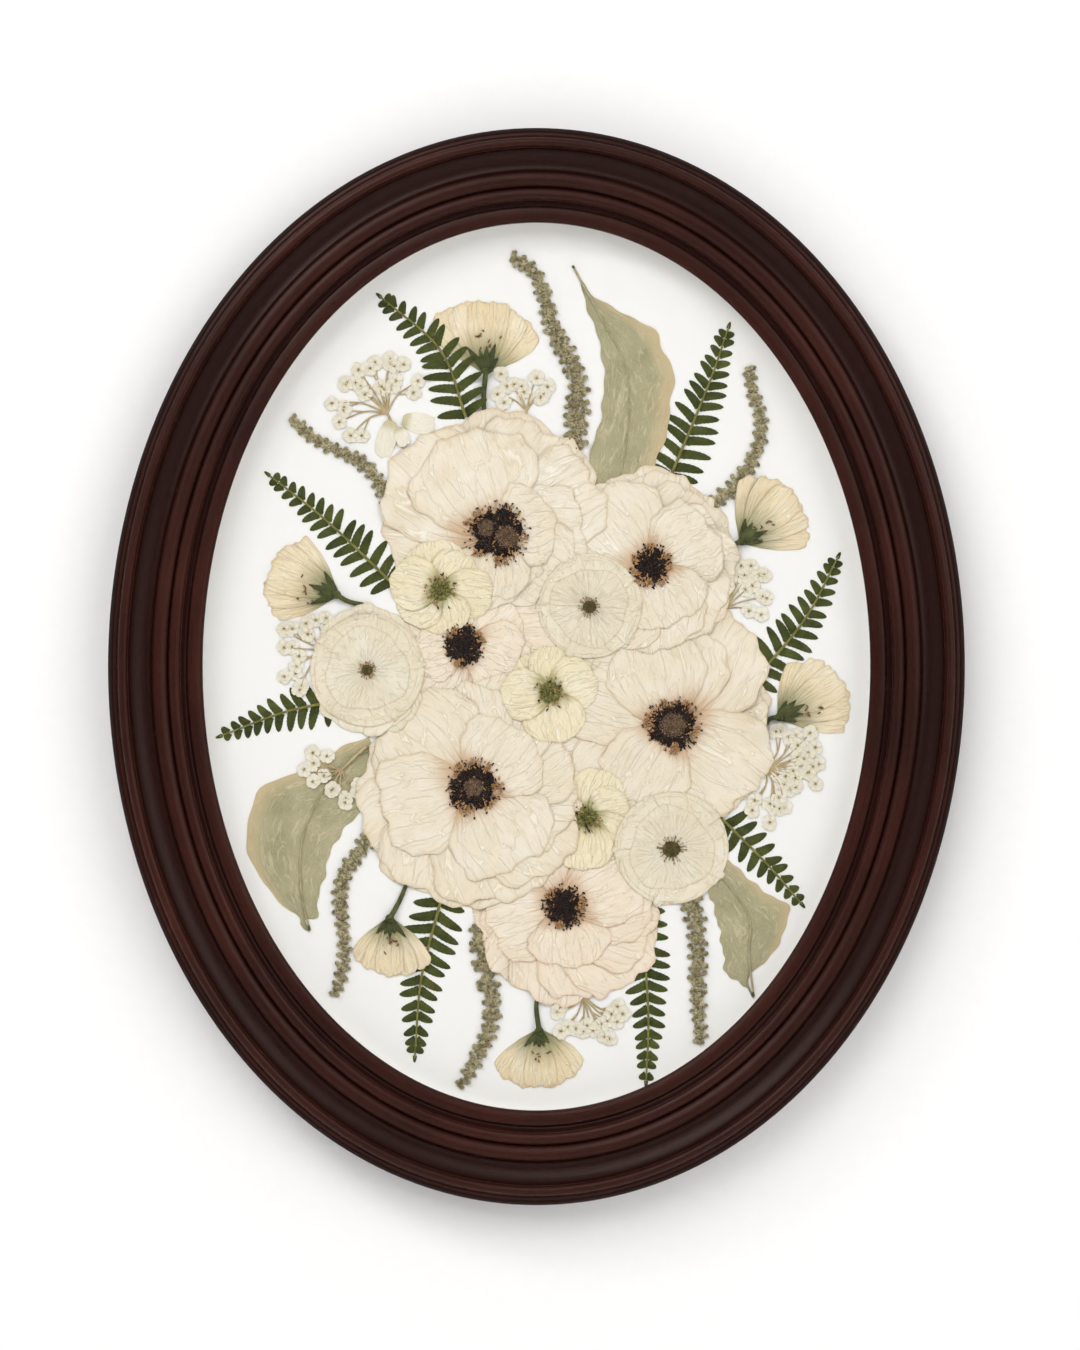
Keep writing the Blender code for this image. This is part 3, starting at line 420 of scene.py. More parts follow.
@dataclass(frozen=True)
class WoodFinish:
    """Dark stained wood under satin lacquer, its grain running round the oval, with painted shade darkening
    the section's hollows.
    """

    name: str = "espresso_stained_wood"
    light: Colour = (68, 31, 23)
    dark: Colour = (30, 11, 9)
    worn: Colour = (112, 66, 50)
    # painted shade: the colour laid into the hollows of the section
    painted_hollow_shade: Colour = (28, 9, 7)
    rough: float = 0.27
    gloss: float = 0.17
    grain_run: float = 0.02
    lacquer_tint: tuple = (1.0, 0.82, 0.74, 1.0)

    def build(self) -> bpy.types.Material:
        """Make the material.

        Returns:
            The wood material, which reads the mesh's round, section, arris and hollow values; the hollow
            value sets the painted shade in the hollows.
        """
        material, wiring, shader = new_material(self.name)
        place = wiring.object_coordinates()
        run = wiring.add("CombineXYZ", {0: wiring.scaled(wiring.attribute("round"), self.grain_run),
                                        1: wiring.attribute("section")}).outputs[0]
        grain = wiring.noise(run, 1.4, 8.0, Roughness=0.65, Distortion=0.4)
        pores = wiring.noise(run, 9.0, 3.0)
        wear = wiring.add("Group", {"Vector": place, "Scale": 160.0, "Edge": wiring.attribute("arris"),
                                    "Amount": 0.42}, node_tree=WEAR)
        colour = wiring.mottle(place, 14.0, 1.6, self.light, self.dark).outputs["Colour"]
        colour = wiring.tint(colour, wiring.ramp(grain, 0.35, 0.65), 0.5, self.dark)
        # painted shade: the wood is darkened where the section lies below its crown, where shade falls in the
        # hollows
        colour = wiring.tint(colour, wiring.attribute("hollow"), 0.8, self.painted_hollow_shade)
        colour = wiring.tint(colour, wear.outputs["Worn"], 0.35, self.worn)
        height = wiring.math("ADD", wiring.scaled(pores, 0.5), grain)
        wiring.feed(shader, {"Base Color": colour, "Normal": wiring.bump(height, 0.35, 0.0003),
                             "Roughness": wiring.math("ADD", wiring.scaled(pores, 0.16), self.rough - 0.08),
                             "Specular IOR Level": self.gloss, "Specular Tint": self.lacquer_tint})
        return material


class Surface(Enum):
    """How fine and how deep a plain sheet's surface is: noise scale, colour drift, bump depth."""

    PAPER = (420.0, 0.5, 0.00008)
    FIBREBOARD = (260.0, 2.4, 0.0002)
    BRUSHED = (900.0, 1.4, 0.00004)
    MOULDED = (600.0, 0.8, 0.00005)


@dataclass(frozen=True)
class SheetFinish:
    """A plain manufactured surface: paper, fibreboard, steel or soft plastic."""

    name: str
    surface: Surface
    light: Colour
    dark: Colour
    rough: float = 0.8
    metallic: float = 0.0
    stretch: float = 1.0

    def build(self) -> bpy.types.Material:
        """Make the material.

        Returns:
            The finished material.
        """
        scale, contrast, depth = self.surface.value
        material, wiring, shader = new_material(self.name)
        place = wiring.add("Mapping", {"Vector": wiring.object_coordinates(),
                                       "Scale": (1.0, self.stretch, self.stretch)}).outputs[0]
        mottle = wiring.mottle(place, scale, contrast, self.light, self.dark)
        patch = mottle.outputs["Patch"]
        wiring.feed(shader, {"Base Color": mottle.outputs["Colour"], "Normal": wiring.bump(patch, 0.6, depth),
                             "Roughness": wiring.math("ADD", wiring.scaled(patch, 0.15), self.rough - 0.07),
                             "Metallic": self.metallic})
        return material


@dataclass(frozen=True)
class GlassFinish:
    """Clear picture glass that lets light through to the flowers."""

    name: str = "picture_glass"
    tint: tuple = (0.985, 0.99, 0.985, 1.0)
    dust_scale: float = 40.0
    haze: float = 0.02

    def build(self) -> bpy.types.Material:
        """Make the material.

        Returns:
            The glass material; light rays pass it unbent, so the flowers behind it are lit.
        """
        material, wiring, shader = new_material(self.name)
        dust = wiring.noise(wiring.object_coordinates(), self.dust_scale, 1.0)
        wiring.feed(shader, {"Base Color": self.tint, "Roughness": wiring.scaled(dust, self.haze), "IOR": 1.3,
                             "Transmission Weight": 1.0, "Specular IOR Level": 0.2})
        path = wiring.add("LightPath")
        wiring.let_through(shader, wiring.math("MAXIMUM", path.outputs["Is Shadow Ray"],
                                               path.outputs["Is Diffuse Ray"]))
        return material


@dataclass
class Shape:
    """Points, faces and per-point values of a modelled shape, in millimetres."""

    points: np.ndarray
    faces: dict[int, np.ndarray]
    values: dict[str, np.ndarray] = field(default_factory=dict)


def select_only(obj: bpy.types.Object | None = None) -> None:
    """Deselect all but one object, and make it the active one."""
    bpy.ops.object.select_all(action="DESELECT")
    if obj is not None:
        obj.select_set(True)
        bpy.context.view_layer.objects.active = obj


def read_shape(obj: bpy.types.Object) -> Shape:
    """Read a modelled object as a shape and remove it.

    Args:
        obj: A mesh object at the origin.

    Returns:
        Its points and faces.
    """
    mesh = obj.data
    points = np.empty(len(mesh.vertices) * 3)
    mesh.vertices.foreach_get("co", points)
    faces: dict[int, list] = {}
    for polygon in mesh.polygons:
        faces.setdefault(len(polygon.vertices), []).append(tuple(polygon.vertices))
    bpy.data.objects.remove(obj)
    bpy.data.meshes.remove(mesh)
    return Shape(points.reshape(-1, 3), {size: np.array(rows) for size, rows in faces.items()})


@cache
def grid_shape(across: int, along: int) -> Shape:
    """Give a flat grid whose points carry across, from -1 to 1, and along, from 0 to 1.

    Args:
        across: Faces across.
        along: Faces along.

    Returns:
        The grid, modelled once for each size.
    """
    select_only()
    bpy.ops.mesh.primitive_grid_add(x_subdivisions=across, y_subdivisions=along, size=2.0)
    shape = read_shape(bpy.context.active_object)
    shape.values = {"across": shape.points[:, 0].copy(), "along": 0.5 * (shape.points[:, 1] + 1.0)}
    return shape


@cache
def ball_shape(subdivisions: int) -> Shape:
    """Give a small ball of unit radius, modelled once for each fineness."""
    select_only()
    bpy.ops.mesh.primitive_ico_sphere_add(subdivisions=subdivisions, radius=1.0)
    return read_shape(bpy.context.active_object)


def tube_shape(way: np.ndarray, radii: np.ndarray, sides: int) -> Shape:
    """Give a closed tube along a way.

    Args:
        way: Points of the way, one row each.
        radii: The tube's radius at each point.
        sides: Faces round the tube.

    Returns:
        The tube with rounded-off ends.
    """
    along = np.gradient(way, axis=0)
    along /= np.linalg.norm(along, axis=1)[:, None] + 1e-9
    side = np.cross(along, np.array([0.0, 0.0, 1.0]))
    side /= np.linalg.norm(side, axis=1)[:, None] + 1e-9
    over = np.cross(side, along)
    turns = np.arange(sides) * FULL_TURN / sides
    ring = side[:, None] * np.cos(turns)[None, :, None] + over[:, None] * np.sin(turns)[None, :, None]
    points = (way[:, None] + ring * radii[:, None, None]).reshape(-1, 3)
    points = np.vstack([points, way[0] - along[0] * radii[0] * 0.6, way[-1] + along[-1] * radii[-1] * 0.6])
    count = len(way)
    steps = [(step, (step + 1) % sides) for step in range(sides)]
    quads = [(row * sides + step, row * sides + after, (row + 1) * sides + after, (row + 1) * sides + step)
             for row in range(count - 1) for step, after in steps]
    caps = []
    for step, after in steps:
        caps.append((after, step, count * sides))
        caps.append(((count - 1) * sides + step, (count - 1) * sides + after, count * sides + 1))
    return Shape(points, {4: np.array(quads), 3: np.array(caps)})


def tube_of(way: np.ndarray, first: float, last: float, sides: int) -> tuple[Shape, np.ndarray]:
    """Give a tube that lies on the bench along a way.

    Args:
        way: Its (x, y) points.
        first: Its radius at the first point.
        last: Its radius at the last.
        sides: Faces round it.

    Returns:
        The tube and its points.
    """
    radii = np.linspace(first, last, len(way))
    shape = tube_shape(np.column_stack([way, radii * 0.8]), radii, sides)
    return shape, shape.points


def turned(points: np.ndarray, degrees: float, centre: Sequence[float] = (0.0, 0.0)) -> np.ndarray:
    """Turn bench points about the bench's upright axis, then move them to a centre."""
    angle = math.radians(degrees)
    cos, sin = math.cos(angle), math.sin(angle)
    result = points.copy()
    result[:, 0] = points[:, 0] * cos - points[:, 1] * sin + centre[0]
    result[:, 1] = points[:, 0] * sin + points[:, 1] * cos + centre[1]
    return result


def rays(turns: np.ndarray, reach: object) -> np.ndarray:
    """Give the (x, y) points at turns in radians round a middle, and at a reach from it."""
    return np.column_stack([np.cos(turns), np.sin(turns)]) * reach


def smooth_way(points: Sequence[Point2], steps: int) -> np.ndarray:
    """Give evenly placed points on the smooth curve through a list of points.

    Args:
        points: The given points.
        steps: How many points to give.

    Returns:
        The points, one row each.
    """
    hand = np.array(points, dtype=float)
    padded = np.vstack([2.0 * hand[0] - hand[1], hand, 2.0 * hand[-1] - hand[-2]])
    fine = []
    for index in range(len(hand) - 1):
        before, start, end, after = padded[index:index + 4]
        for rest in np.linspace(0.0, 1.0, 12, endpoint=False):
            fine.append(0.5 * (2.0 * start + (end - before) * rest
                               + (2.0 * before - 5.0 * start + 4.0 * end - after) * rest ** 2
                               + (3.0 * start - before - 3.0 * end + after) * rest ** 3))
    fine.append(hand[-1])
    curve = np.array(fine)
    length = distances(curve)
    places = np.linspace(0.0, length[-1], steps)
    return np.column_stack([np.interp(places, length, curve[:, 0]), np.interp(places, length, curve[:, 1])])


def distances(points: np.ndarray) -> np.ndarray:
    """Give the distance along a line of points at each of them."""
    return np.concatenate([[0.0], np.cumsum(np.linalg.norm(np.diff(points, axis=0), axis=1))])


def creased(x: np.ndarray, y: np.ndarray, rng: np.random.Generator, count: int, size: float,
            height: float, lean: float) -> np.ndarray:
    """Give the relief of creases in thin tissue: narrow ridges that come and go.

    Args:
        x: Place across the grain of the creases.
        y: Place along them.
        rng: Source of the random draws.
        count: Families of creases.
        size: Distance between neighbouring creases.
        height: Height of a crease.
        lean: How far the families turn from the grain, in degrees.

    Returns:
        The height at each place, never below zero.
    """
    relief = np.zeros_like(x)
    for _ in range(count):
        turn = math.radians(rng.normal(0.0, lean))
        wave = size * rng.uniform(0.7, 1.5)
        across = (x * math.cos(turn) + y * math.sin(turn)) / wave
        along = (y * math.cos(turn) - x * math.sin(turn)) / wave
        phase = across * math.pi + 0.7 * np.sin(along * rng.uniform(0.8, 1.6) + rng.uniform(0.0, DRAWN_PHASE))
        ridge = (1.0 - np.abs(np.sin(phase + rng.uniform(0.0, DRAWN_PHASE)))) ** 5
        window = np.clip(np.sin(along * rng.uniform(0.7, 1.3) + rng.uniform(0.0, DRAWN_PHASE)), 0.0, 1.0)
        relief += ridge * window
    return relief * height


class PressBed:
    """The height of what already lies on the board, on cells of one millimetre."""

    def __init__(self, half_width: float, half_height: float, floor: float) -> None:
        """Start with a bare board."""
        self.left = -half_width
        self.foot = -half_height
        self.tops = np.full((int(2 * half_height) + 1, int(2 * half_width) + 1), floor)
        self.rest = self.tops.copy()

    def settle(self, softness: int) -> None:
        """Work out the height that a limp sheet laid on top would take.

        Args:
            softness: How many times the height is smoothed.
        """
        smooth = self.dilate(self.dilate(self.tops))
        for _ in range(softness):
            padded = np.pad(smooth, 1, mode="edge")
            rows = 0.25 * padded[:-2] + 0.5 * padded[1:-1] + 0.25 * padded[2:]
            smooth = 0.25 * rows[:, :-2] + 0.5 * rows[:, 1:-1] + 0.25 * rows[:, 2:]
        self.rest = np.maximum(smooth, self.dilate(self.tops))

    @staticmethod
    def dilate(cells: np.ndarray) -> np.ndarray:
        """Spread each height to the cells next to it."""
        padded = np.pad(cells, 1, mode="edge")
        rows = np.maximum(np.maximum(padded[:-2], padded[1:-1]), padded[2:])
        return np.maximum(np.maximum(rows[:, :-2], rows[:, 1:-1]), rows[:, 2:])

    def height(self, x: np.ndarray, y: np.ndarray) -> np.ndarray:
        """Give the settled height at places on the bench."""
        column = np.clip(x - self.left, 0.0, self.rest.shape[1] - 1.001)
        row = np.clip(y - self.foot, 0.0, self.rest.shape[0] - 1.001)
        j, i = column.astype(int), row.astype(int)
        u, v = column - j, row - i
        low = self.rest[i, j] * (1.0 - u) + self.rest[i, j + 1] * u
        high = self.rest[i + 1, j] * (1.0 - u) + self.rest[i + 1, j + 1] * u
        return low * (1.0 - v) + high * v

    def press(self, x: np.ndarray, y: np.ndarray, tops: np.ndarray) -> None:
        """Add a piece that has been laid.

        Args:
            x: Places of its points.
            y: Places of its points.
            tops: Their heights.
        """
        j = np.clip(np.rint(x - self.left).astype(int), 0, self.tops.shape[1] - 1)
        i = np.clip(np.rint(y - self.foot).astype(int), 0, self.tops.shape[0] - 1)
        layer = np.full_like(self.tops, -1.0)
        np.maximum.at(layer, (i, j), tops)
        filled = self.dilate(layer)
        inside = -self.dilate(-np.where(filled > 0.0, 1.0, 0.0)) > 0.5
        layer = np.where(layer > 0.0, layer, np.where(inside, filled, -1.0))
        self.tops = np.maximum(self.tops, layer)


class Pile:
    """Gathers many small shapes into one mesh with the values that its material reads."""

    def __init__(self) -> None:
        """Start empty."""
        self.points: list[np.ndarray] = []
        self.faces: dict[int, list[np.ndarray]] = {}
        self.values: dict[str, list[np.ndarray]] = {name: [] for name in VALUE_NAMES}
        self.count = 0

    def add(self, points: np.ndarray, faces: dict[int, np.ndarray], **values: object) -> None:
        """Add a shape in bench millimetres.

        Args:
            points: Its points.
            faces: Its faces by number of corners.
            values: Numbers or arrays for the values in VALUE_NAMES.
        """
        for size, rows in faces.items():
            self.faces.setdefault(size, []).append(rows + self.count)
        self.points.append(points)
        for name in VALUE_NAMES:
            value = np.asarray(values.get(name, 0.0), dtype=float)
            self.values[name].append(np.broadcast_to(value, (len(points),)))
        self.count += len(points)

    def build(self, name: str, material: bpy.types.Material, thick: float = 0.0) -> bpy.types.Object:
        """Make the mesh object, standing upright in the frame.

        Args:
            name: The object's name.
            material: Its finish.
            thick: Thickness to give to open sheets, in millimetres; 0 for closed shapes.

        Returns:
            The object.
        """
        world = to_world(np.vstack(self.points))
        mesh = bpy.data.meshes.new(name)
        mesh.vertices.add(len(world))
        mesh.vertices.foreach_set("co", world.astype(np.float32).ravel())
        rows = [np.vstack(group) for group in self.faces.values()]
        corners = np.concatenate([group.ravel() for group in rows])
        sizes = np.concatenate([np.full(len(group), group.shape[1]) for group in rows])
        mesh.loops.add(len(corners))
        mesh.loops.foreach_set("vertex_index", corners.astype(np.int32))
        mesh.polygons.add(len(sizes))
        mesh.polygons.foreach_set("loop_start", np.concatenate([[0], np.cumsum(sizes)[:-1]]).astype(np.int32))
        for label, parts in self.values.items():
            layer = mesh.attributes.new(label, "FLOAT", "POINT")
            layer.data.foreach_set("value", np.concatenate(parts).astype(np.float32))
        mesh.update(calc_edges=True)
        mesh.validate()
        mesh.materials.append(material)
        obj = bpy.data.objects.new(name, mesh)
        bpy.context.scene.collection.objects.link(obj)
        select_only(obj)
        if thick > 0.0:
            apply_modifier(obj, "SOLIDIFY", thickness=thick * MM, offset=-1.0)
        bpy.ops.object.shade_smooth_by_angle(angle=math.radians(50.0))
        return obj


class Specimen:
    """One pressed piece being laid on the bed: limp sheets and small solids, by finish."""

    def __init__(self, node: str, seed: int, bed: PressBed, materials: dict[str, bpy.types.Material]) -> None:
        """Start the piece that stands for a CAD node, with its own random draws."""
        self.node = node
        self.rng = np.random.default_rng(seed)
        self.bed = bed
        self.materials = materials
        self.piles: dict[tuple[str, float], Pile] = {}

    def pile(self, finish: str, thick: float) -> Pile:
        """Give the pile for a finish and a thickness."""
        return self.piles.setdefault((finish, thick), Pile())

    def lay(self, finish: str, shape: Shape, points: np.ndarray, thick: float, **values: object) -> None:
        """Drape a sheet over what lies there already.

        Args:
            finish: Key of the finish.
            shape: The grid that gives the faces.
            points: Its points on the bench; Z is the relief above where the sheet rests.
            thick: The sheet's thickness.
            values: Values for the material.
        """
        draped = points.copy()
        draped[:, 2] += self.bed.height(points[:, 0], points[:, 1]) + thick + SHEET_GAP
        self.pile(finish, thick).add(draped, shape.faces, **{**shape.values, **values})
        self.bed.press(*draped.T)

    def follow(self, finish: str, shape: Shape, points: np.ndarray) -> None:
        """Set a long solid that follows the heights under all of its points."""
        placed = points.copy()
        placed[:, 2] += self.bed.height(placed[:, 0], placed[:, 1])
        self.pile(finish, 0.0).add(placed, shape.faces)
        self.bed.press(*placed.T)

    def stick(self, finish: str, shape: Shape, points: np.ndarray, tone: float) -> None:
        """Set a small solid on what lies there: its Z counts from the height under its middle."""
        placed = points.copy()
        middle = placed[:, :2].mean(axis=0)
        placed[:, 2] += self.bed.height(middle[:1], middle[1:])[0]
        self.pile(finish, 0.0).add(placed, shape.faces, tone=tone)

    def scatter(self, finish: str, shape: Shape, places: np.ndarray, lift: object, sizes: np.ndarray,
                turns: np.ndarray, tones: np.ndarray) -> None:
        """Set many small copies of a shape on what lies there.

        Args:
            finish: Key of the finish.
            shape: The shape.
            places: One (x, y) row for each copy.
            lift: Height of each copy's middle above what it lies on.
            sizes: One (x, y, z) size for each copy.
            turns: One turn for each copy, in radians.
            tones: One tone for each copy.
        """
        heights = self.bed.height(places[:, 0], places[:, 1]) + lift
        self.repeat(finish, shape, np.column_stack([places, heights]), sizes, turns, tones)

    def repeat(self, finish: str, shape: Shape, places: np.ndarray, sizes: np.ndarray, turns: np.ndarray,
               tones: np.ndarray) -> None:
        """Copy a shape to many places.

        Args:
            finish: Key of the finish.
            shape: The shape.
            places: One (x, y, z) row for each copy.
            sizes: One (x, y, z) size for each copy.
            turns: One turn about the upright axis for each copy, in radians.
            tones: One tone for each copy.
        """
        sized = shape.points[None] * sizes[:, None, :]
        cos, sin = np.cos(turns)[:, None], np.sin(turns)[:, None]
        points = np.stack([sized[:, :, 0] * cos - sized[:, :, 1] * sin,
                           sized[:, :, 0] * sin + sized[:, :, 1] * cos, sized[:, :, 2]], axis=2)
        points = (points + places[:, None, :]).reshape(-1, 3)
        offsets = (np.arange(len(places)) * len(shape.points))[:, None, None]
        faces = {size: (rows[None] + offsets).reshape(-1, size) for size, rows in shape.faces.items()}
        self.pile(finish, 0.0).add(points, faces, tone=np.repeat(tones, len(shape.points)))

    def finish(self, slot: str) -> None:
        """Join the piles in one object and put it in the CAD node's place.

        Args:
            slot: The record's material slot.
        """
        name = f"pressed_{self.node}"
        settle_piece([pile.build(name, self.materials[finish], thick)
                      for (finish, thick), pile in self.piles.items()], name, slot, self.node)


def settle_piece(objects: list[bpy.types.Object], name: str, slot: str, *nodes: str) -> None:
    """Join objects in one piece that stands for CAD nodes.

    Args:
        objects: The objects to join.
        name: The piece's name.
        slot: Not used.
        nodes: The CAD nodes that it stands for.
    """
    select_only(objects[0])
    for obj in objects[1:]:
        obj.select_set(True)
    if len(objects) > 1:
        bpy.ops.object.join()
    piece = bpy.context.view_layer.objects.active
    piece.name = name
    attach(piece, "root")
    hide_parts(*nodes)
    LOG.info("%s: %d points, %d faces", name, len(piece.data.vertices), len(piece.data.polygons))


def apply_modifier(obj: bpy.types.Object, kind: str, **settings: object) -> None:
    """Add a modifier to an object and apply it.

    Args:
        obj: The object.
        kind: The modifier's type.
        settings: Its properties.
    """
    select_only(obj)
    modifier = obj.modifiers.new(kind.lower(), kind)
    for key, value in settings.items():
        setattr(modifier, key, value)
    bpy.ops.object.modifier_apply(modifier=modifier.name)


@dataclass
class Moulding:
    """The oval wood ring: beads, hollows and a rabbet swept round the sight oval.

    Each member is the (outward, height) end of one run of the section and how far the run bows out. The
    crown is the line that the section would fill if it had no hollows; how deep the section lies below it
    sets the painted shade in the hollows.
    """

    node: str = "moulding"
    steps_round: int = 300
    member_steps: int = 9
    front_limit: float = 30.6
    crown: tuple = ((0.0, 3.5, 12.5, 18.5, 35.5, 39.5, 42.5), (23.6, 24.2, 26.8, 26.8, 30.6, 28.2, 26.0))
    hollow_shade_depth: float = 2.4
    edge_from: float = 39.5
    arris_width: float = 0.8
    # outer flank, side and back: a matt finish, partly real, whose darker colour is painted shade on the
    # outer flank
    edge: WoodFinish = WoodFinish("matt_shaded_edge_wood", (44, 20, 15), (22, 9, 7), (70, 40, 30), rough=0.62,
                                  gloss=0.05)
    members: tuple = (
        ((0.0, 22.5), 0.0), ((0.7, 23.3), 0.2), ((6.8, 23.5), 0.7), ((7.5, 22.6), 0.0), ((9.6, 25.1), -0.45),
        ((10.1, 25.4), 0.15), ((15.1, 25.2), 1.5), ((15.6, 24.4), 0.0), ((22.8, 25.1), 2.3),
        ((32.8, 29.0), -2.6), ((33.4, 29.1), 0.2), ((37.6, 28.7), 1.7),
        ((38.2, 27.5), 0.0), ((39.8, 27.2), 0.2), ((42.3, 21.6), 0.8), ((42.5, 20.4), 0.15),
        ((42.5, 3.5), 0.0), ((42.0, 3.0), 0.1), ((7.0, 3.0), 0.0), ((6.5, 3.5), 0.1),
        ((6.5, 20.9), 0.0), ((0.0, 20.9), 0.0))

    def section(self) -> tuple[np.ndarray, np.ndarray]:
        """Trace the closed section.

        Returns:
            Its points as (outward, height) rows, first and last the same, and how much of an arris each is.
        """
        start = np.array(self.members[-1][0])
        points, arris = [start], [1.0]
        for end, rise in self.members:
            end = np.array(end)
            span = end - start
            normal = np.array([-span[1], span[0]]) / float(np.linalg.norm(span))
            steps = self.member_steps if abs(rise) > 0.3 else (3 if rise else 2)
            for step in range(1, steps + 1):
                turn = math.pi * step / steps
                place = start + span * (0.5 - 0.5 * math.cos(turn)) + normal * rise * math.sin(turn)
                points.append(place)
                near = max(0.0, 1.0 - abs(place[0] - end[0]) / self.arris_width)
                arris.append(near if rise >= 0.0 else 0.0)
            start = end
        profile = np.array(points)
        profile[:, 1] = np.minimum(profile[:, 1], self.front_limit)
        return profile, np.array(arris)

    def ring(self) -> tuple[np.ndarray, np.ndarray, np.ndarray]:
        """Place stations round the sight oval, clockwise.

        Returns:
            The oval's points, its outward directions and the distance round it.
        """
        half = np.array([SIGHT_HALF_WIDTH, SIGHT_HALF_HEIGHT])
        turns = np.linspace(0.0, -FULL_TURN, self.steps_round * 8 + 1)
        length = distances(rays(turns, half))
        places = np.linspace(0.0, length[-1], self.steps_round + 1)
        angle = np.interp(places, length, turns)
        outward = rays(angle, 1.0) / half
        return rays(angle, half), outward / np.linalg.norm(outward, axis=1)[:, None], places

    def build(self, finish: WoodFinish) -> None:
        """Shape a grid into the ring, close its seams and dress it.

        Args:
            finish: The wood.
        """
        profile, arris = self.section()
        oval, outward, places = self.ring()
        rows = len(profile) - 1
        select_only()
        bpy.ops.mesh.primitive_grid_add(x_subdivisions=self.steps_round, y_subdivisions=rows, size=2.0)
        obj = bpy.context.active_object
        mesh = obj.data
        flat = np.empty(len(mesh.vertices) * 3)
        mesh.vertices.foreach_get("co", flat)
        flat = flat.reshape(-1, 3)
        column = np.rint((flat[:, 0] + 1.0) * 0.5 * self.steps_round).astype(int)
        row = np.rint((flat[:, 1] + 1.0) * 0.5 * rows).astype(int)
        bench = np.column_stack([oval[column] + outward[column] * profile[row, 0][:, None], profile[row, 1]])
        mesh.vertices.foreach_set("co", to_world(bench).ravel())
        corner = np.empty(len(mesh.loops), dtype=np.int32)
        mesh.loops.foreach_get("vertex_index", corner)
        # painted shade: how deep each point lies below the crown, which darkens the wood in the hollows
        lean = np.interp(profile[:, 0], self.crown[0], self.crown[1]) - profile[:, 1]
        hollow = np.clip(lean / self.hollow_shade_depth, 0.0, 1.0)
        for name, values in (("round", places[column]), ("section", distances(profile)[row]),
                             ("arris", arris[row]), ("hollow", hollow[row])):
            layer = mesh.attributes.new(name, "FLOAT", "CORNER")
            layer.data.foreach_set("value", values[corner].astype(np.float32))
        quads = np.empty(4 * len(mesh.polygons), dtype=np.int32)
        mesh.polygons.foreach_get("vertices", quads)
        # faces beyond edge_from take the matt wood whose darker colour is painted shade
        outer = profile[row[quads], 0].reshape(-1, 4).min(axis=1) > self.edge_from
        mesh.polygons.foreach_set("material_index", outer.astype(np.int32))
        mesh.update()
        apply_modifier(obj, "WELD", merge_threshold=0.02 * MM)
        for wood in (finish, self.edge):
            mesh.materials.append(wood.build())
        bpy.ops.object.shade_smooth_by_angle(angle=math.radians(32.0))
        settle_piece([obj], "oval_moulding", "dark_wood", self.node)


def dress_node(node: str, material: bpy.types.Material, **bevel: object) -> None:
    """Give a CAD node its finish and, where a bevel's properties are given, eased edges.

    Args:
        node: The node's name.
        material: Its finish.
        bevel: Properties of the bevel.
    """
    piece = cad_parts[node]
    piece.data.materials[0] = material
    if bevel:
        eased = piece.modifiers.new("eased_edge", "BEVEL")
        eased.limit_method = "ANGLE"
        for key, value in bevel.items():
            setattr(eased, key, value)
    LOG.info("%s: dressed", node)


@dataclass
class Boards:
    """The sheets in the rabbet, which keep their CAD shapes and take their finishes here."""

    glass: GlassFinish = GlassFinish()
    cut_edge: float = 0.15
    sheets: tuple = (
        ("mount_board", SheetFinish("mount_board_paper", Surface.PAPER, (238, 237, 235), (235, 233, 230),
                                    0.9)),
        ("backing_board", SheetFinish("backing_fibreboard", Surface.FIBREBOARD, (164, 128, 92), (128, 94, 64),
                                      0.85)),
        ("spacer", SheetFinish("spacer_card", Surface.PAPER, (246, 244, 240), (236, 233, 227), 0.85)))

    def dress(self) -> None:
        """Give each sheet its finish."""
        dress_node("glass", self.glass.build())
        for node, finish in self.sheets:
            dress_node(node, finish.build(), width=self.cut_edge * MM, segments=2)


@dataclass
class BackFittings:
    """What the back carries: framer's points, the sawtooth hanger with its nails, and two wall bumpers."""

    steel: SheetFinish = SheetFinish("plated_steel", Surface.BRUSHED, (196, 194, 186), (150, 147, 138), 0.34,
                                     1.0, 0.2)
    rubber: SheetFinish = SheetFinish("clear_bumper_plastic", Surface.MOULDED, (206, 202, 194),
                                      (178, 173, 164), 0.42)
    points: int = 6
    point_edge: float = 0.06
    hanger_edge: float = 0.12
    bumper_edge: float = 0.25

    def dress(self) -> None:
        """Dress all the fittings."""
        steel, rubber = self.steel.build(), self.rubber.build()
        points = [f"framers_point_{number}" for number in range(1, self.points + 1)]
        hanger = ["hanger", "hanger_nail_left", "hanger_nail_right"]
        bumpers = ["bumper_left", "bumper_right"]
        for nodes, material, edge in ((points, steel, self.point_edge), (hanger, steel, self.hanger_edge),
                                      (bumpers, rubber, self.bumper_edge)):
            for node in nodes:
                dress_node(node, material, width=edge * MM, segments=3, angle_limit=math.radians(40.0),
                           use_clamp_overlap=True)


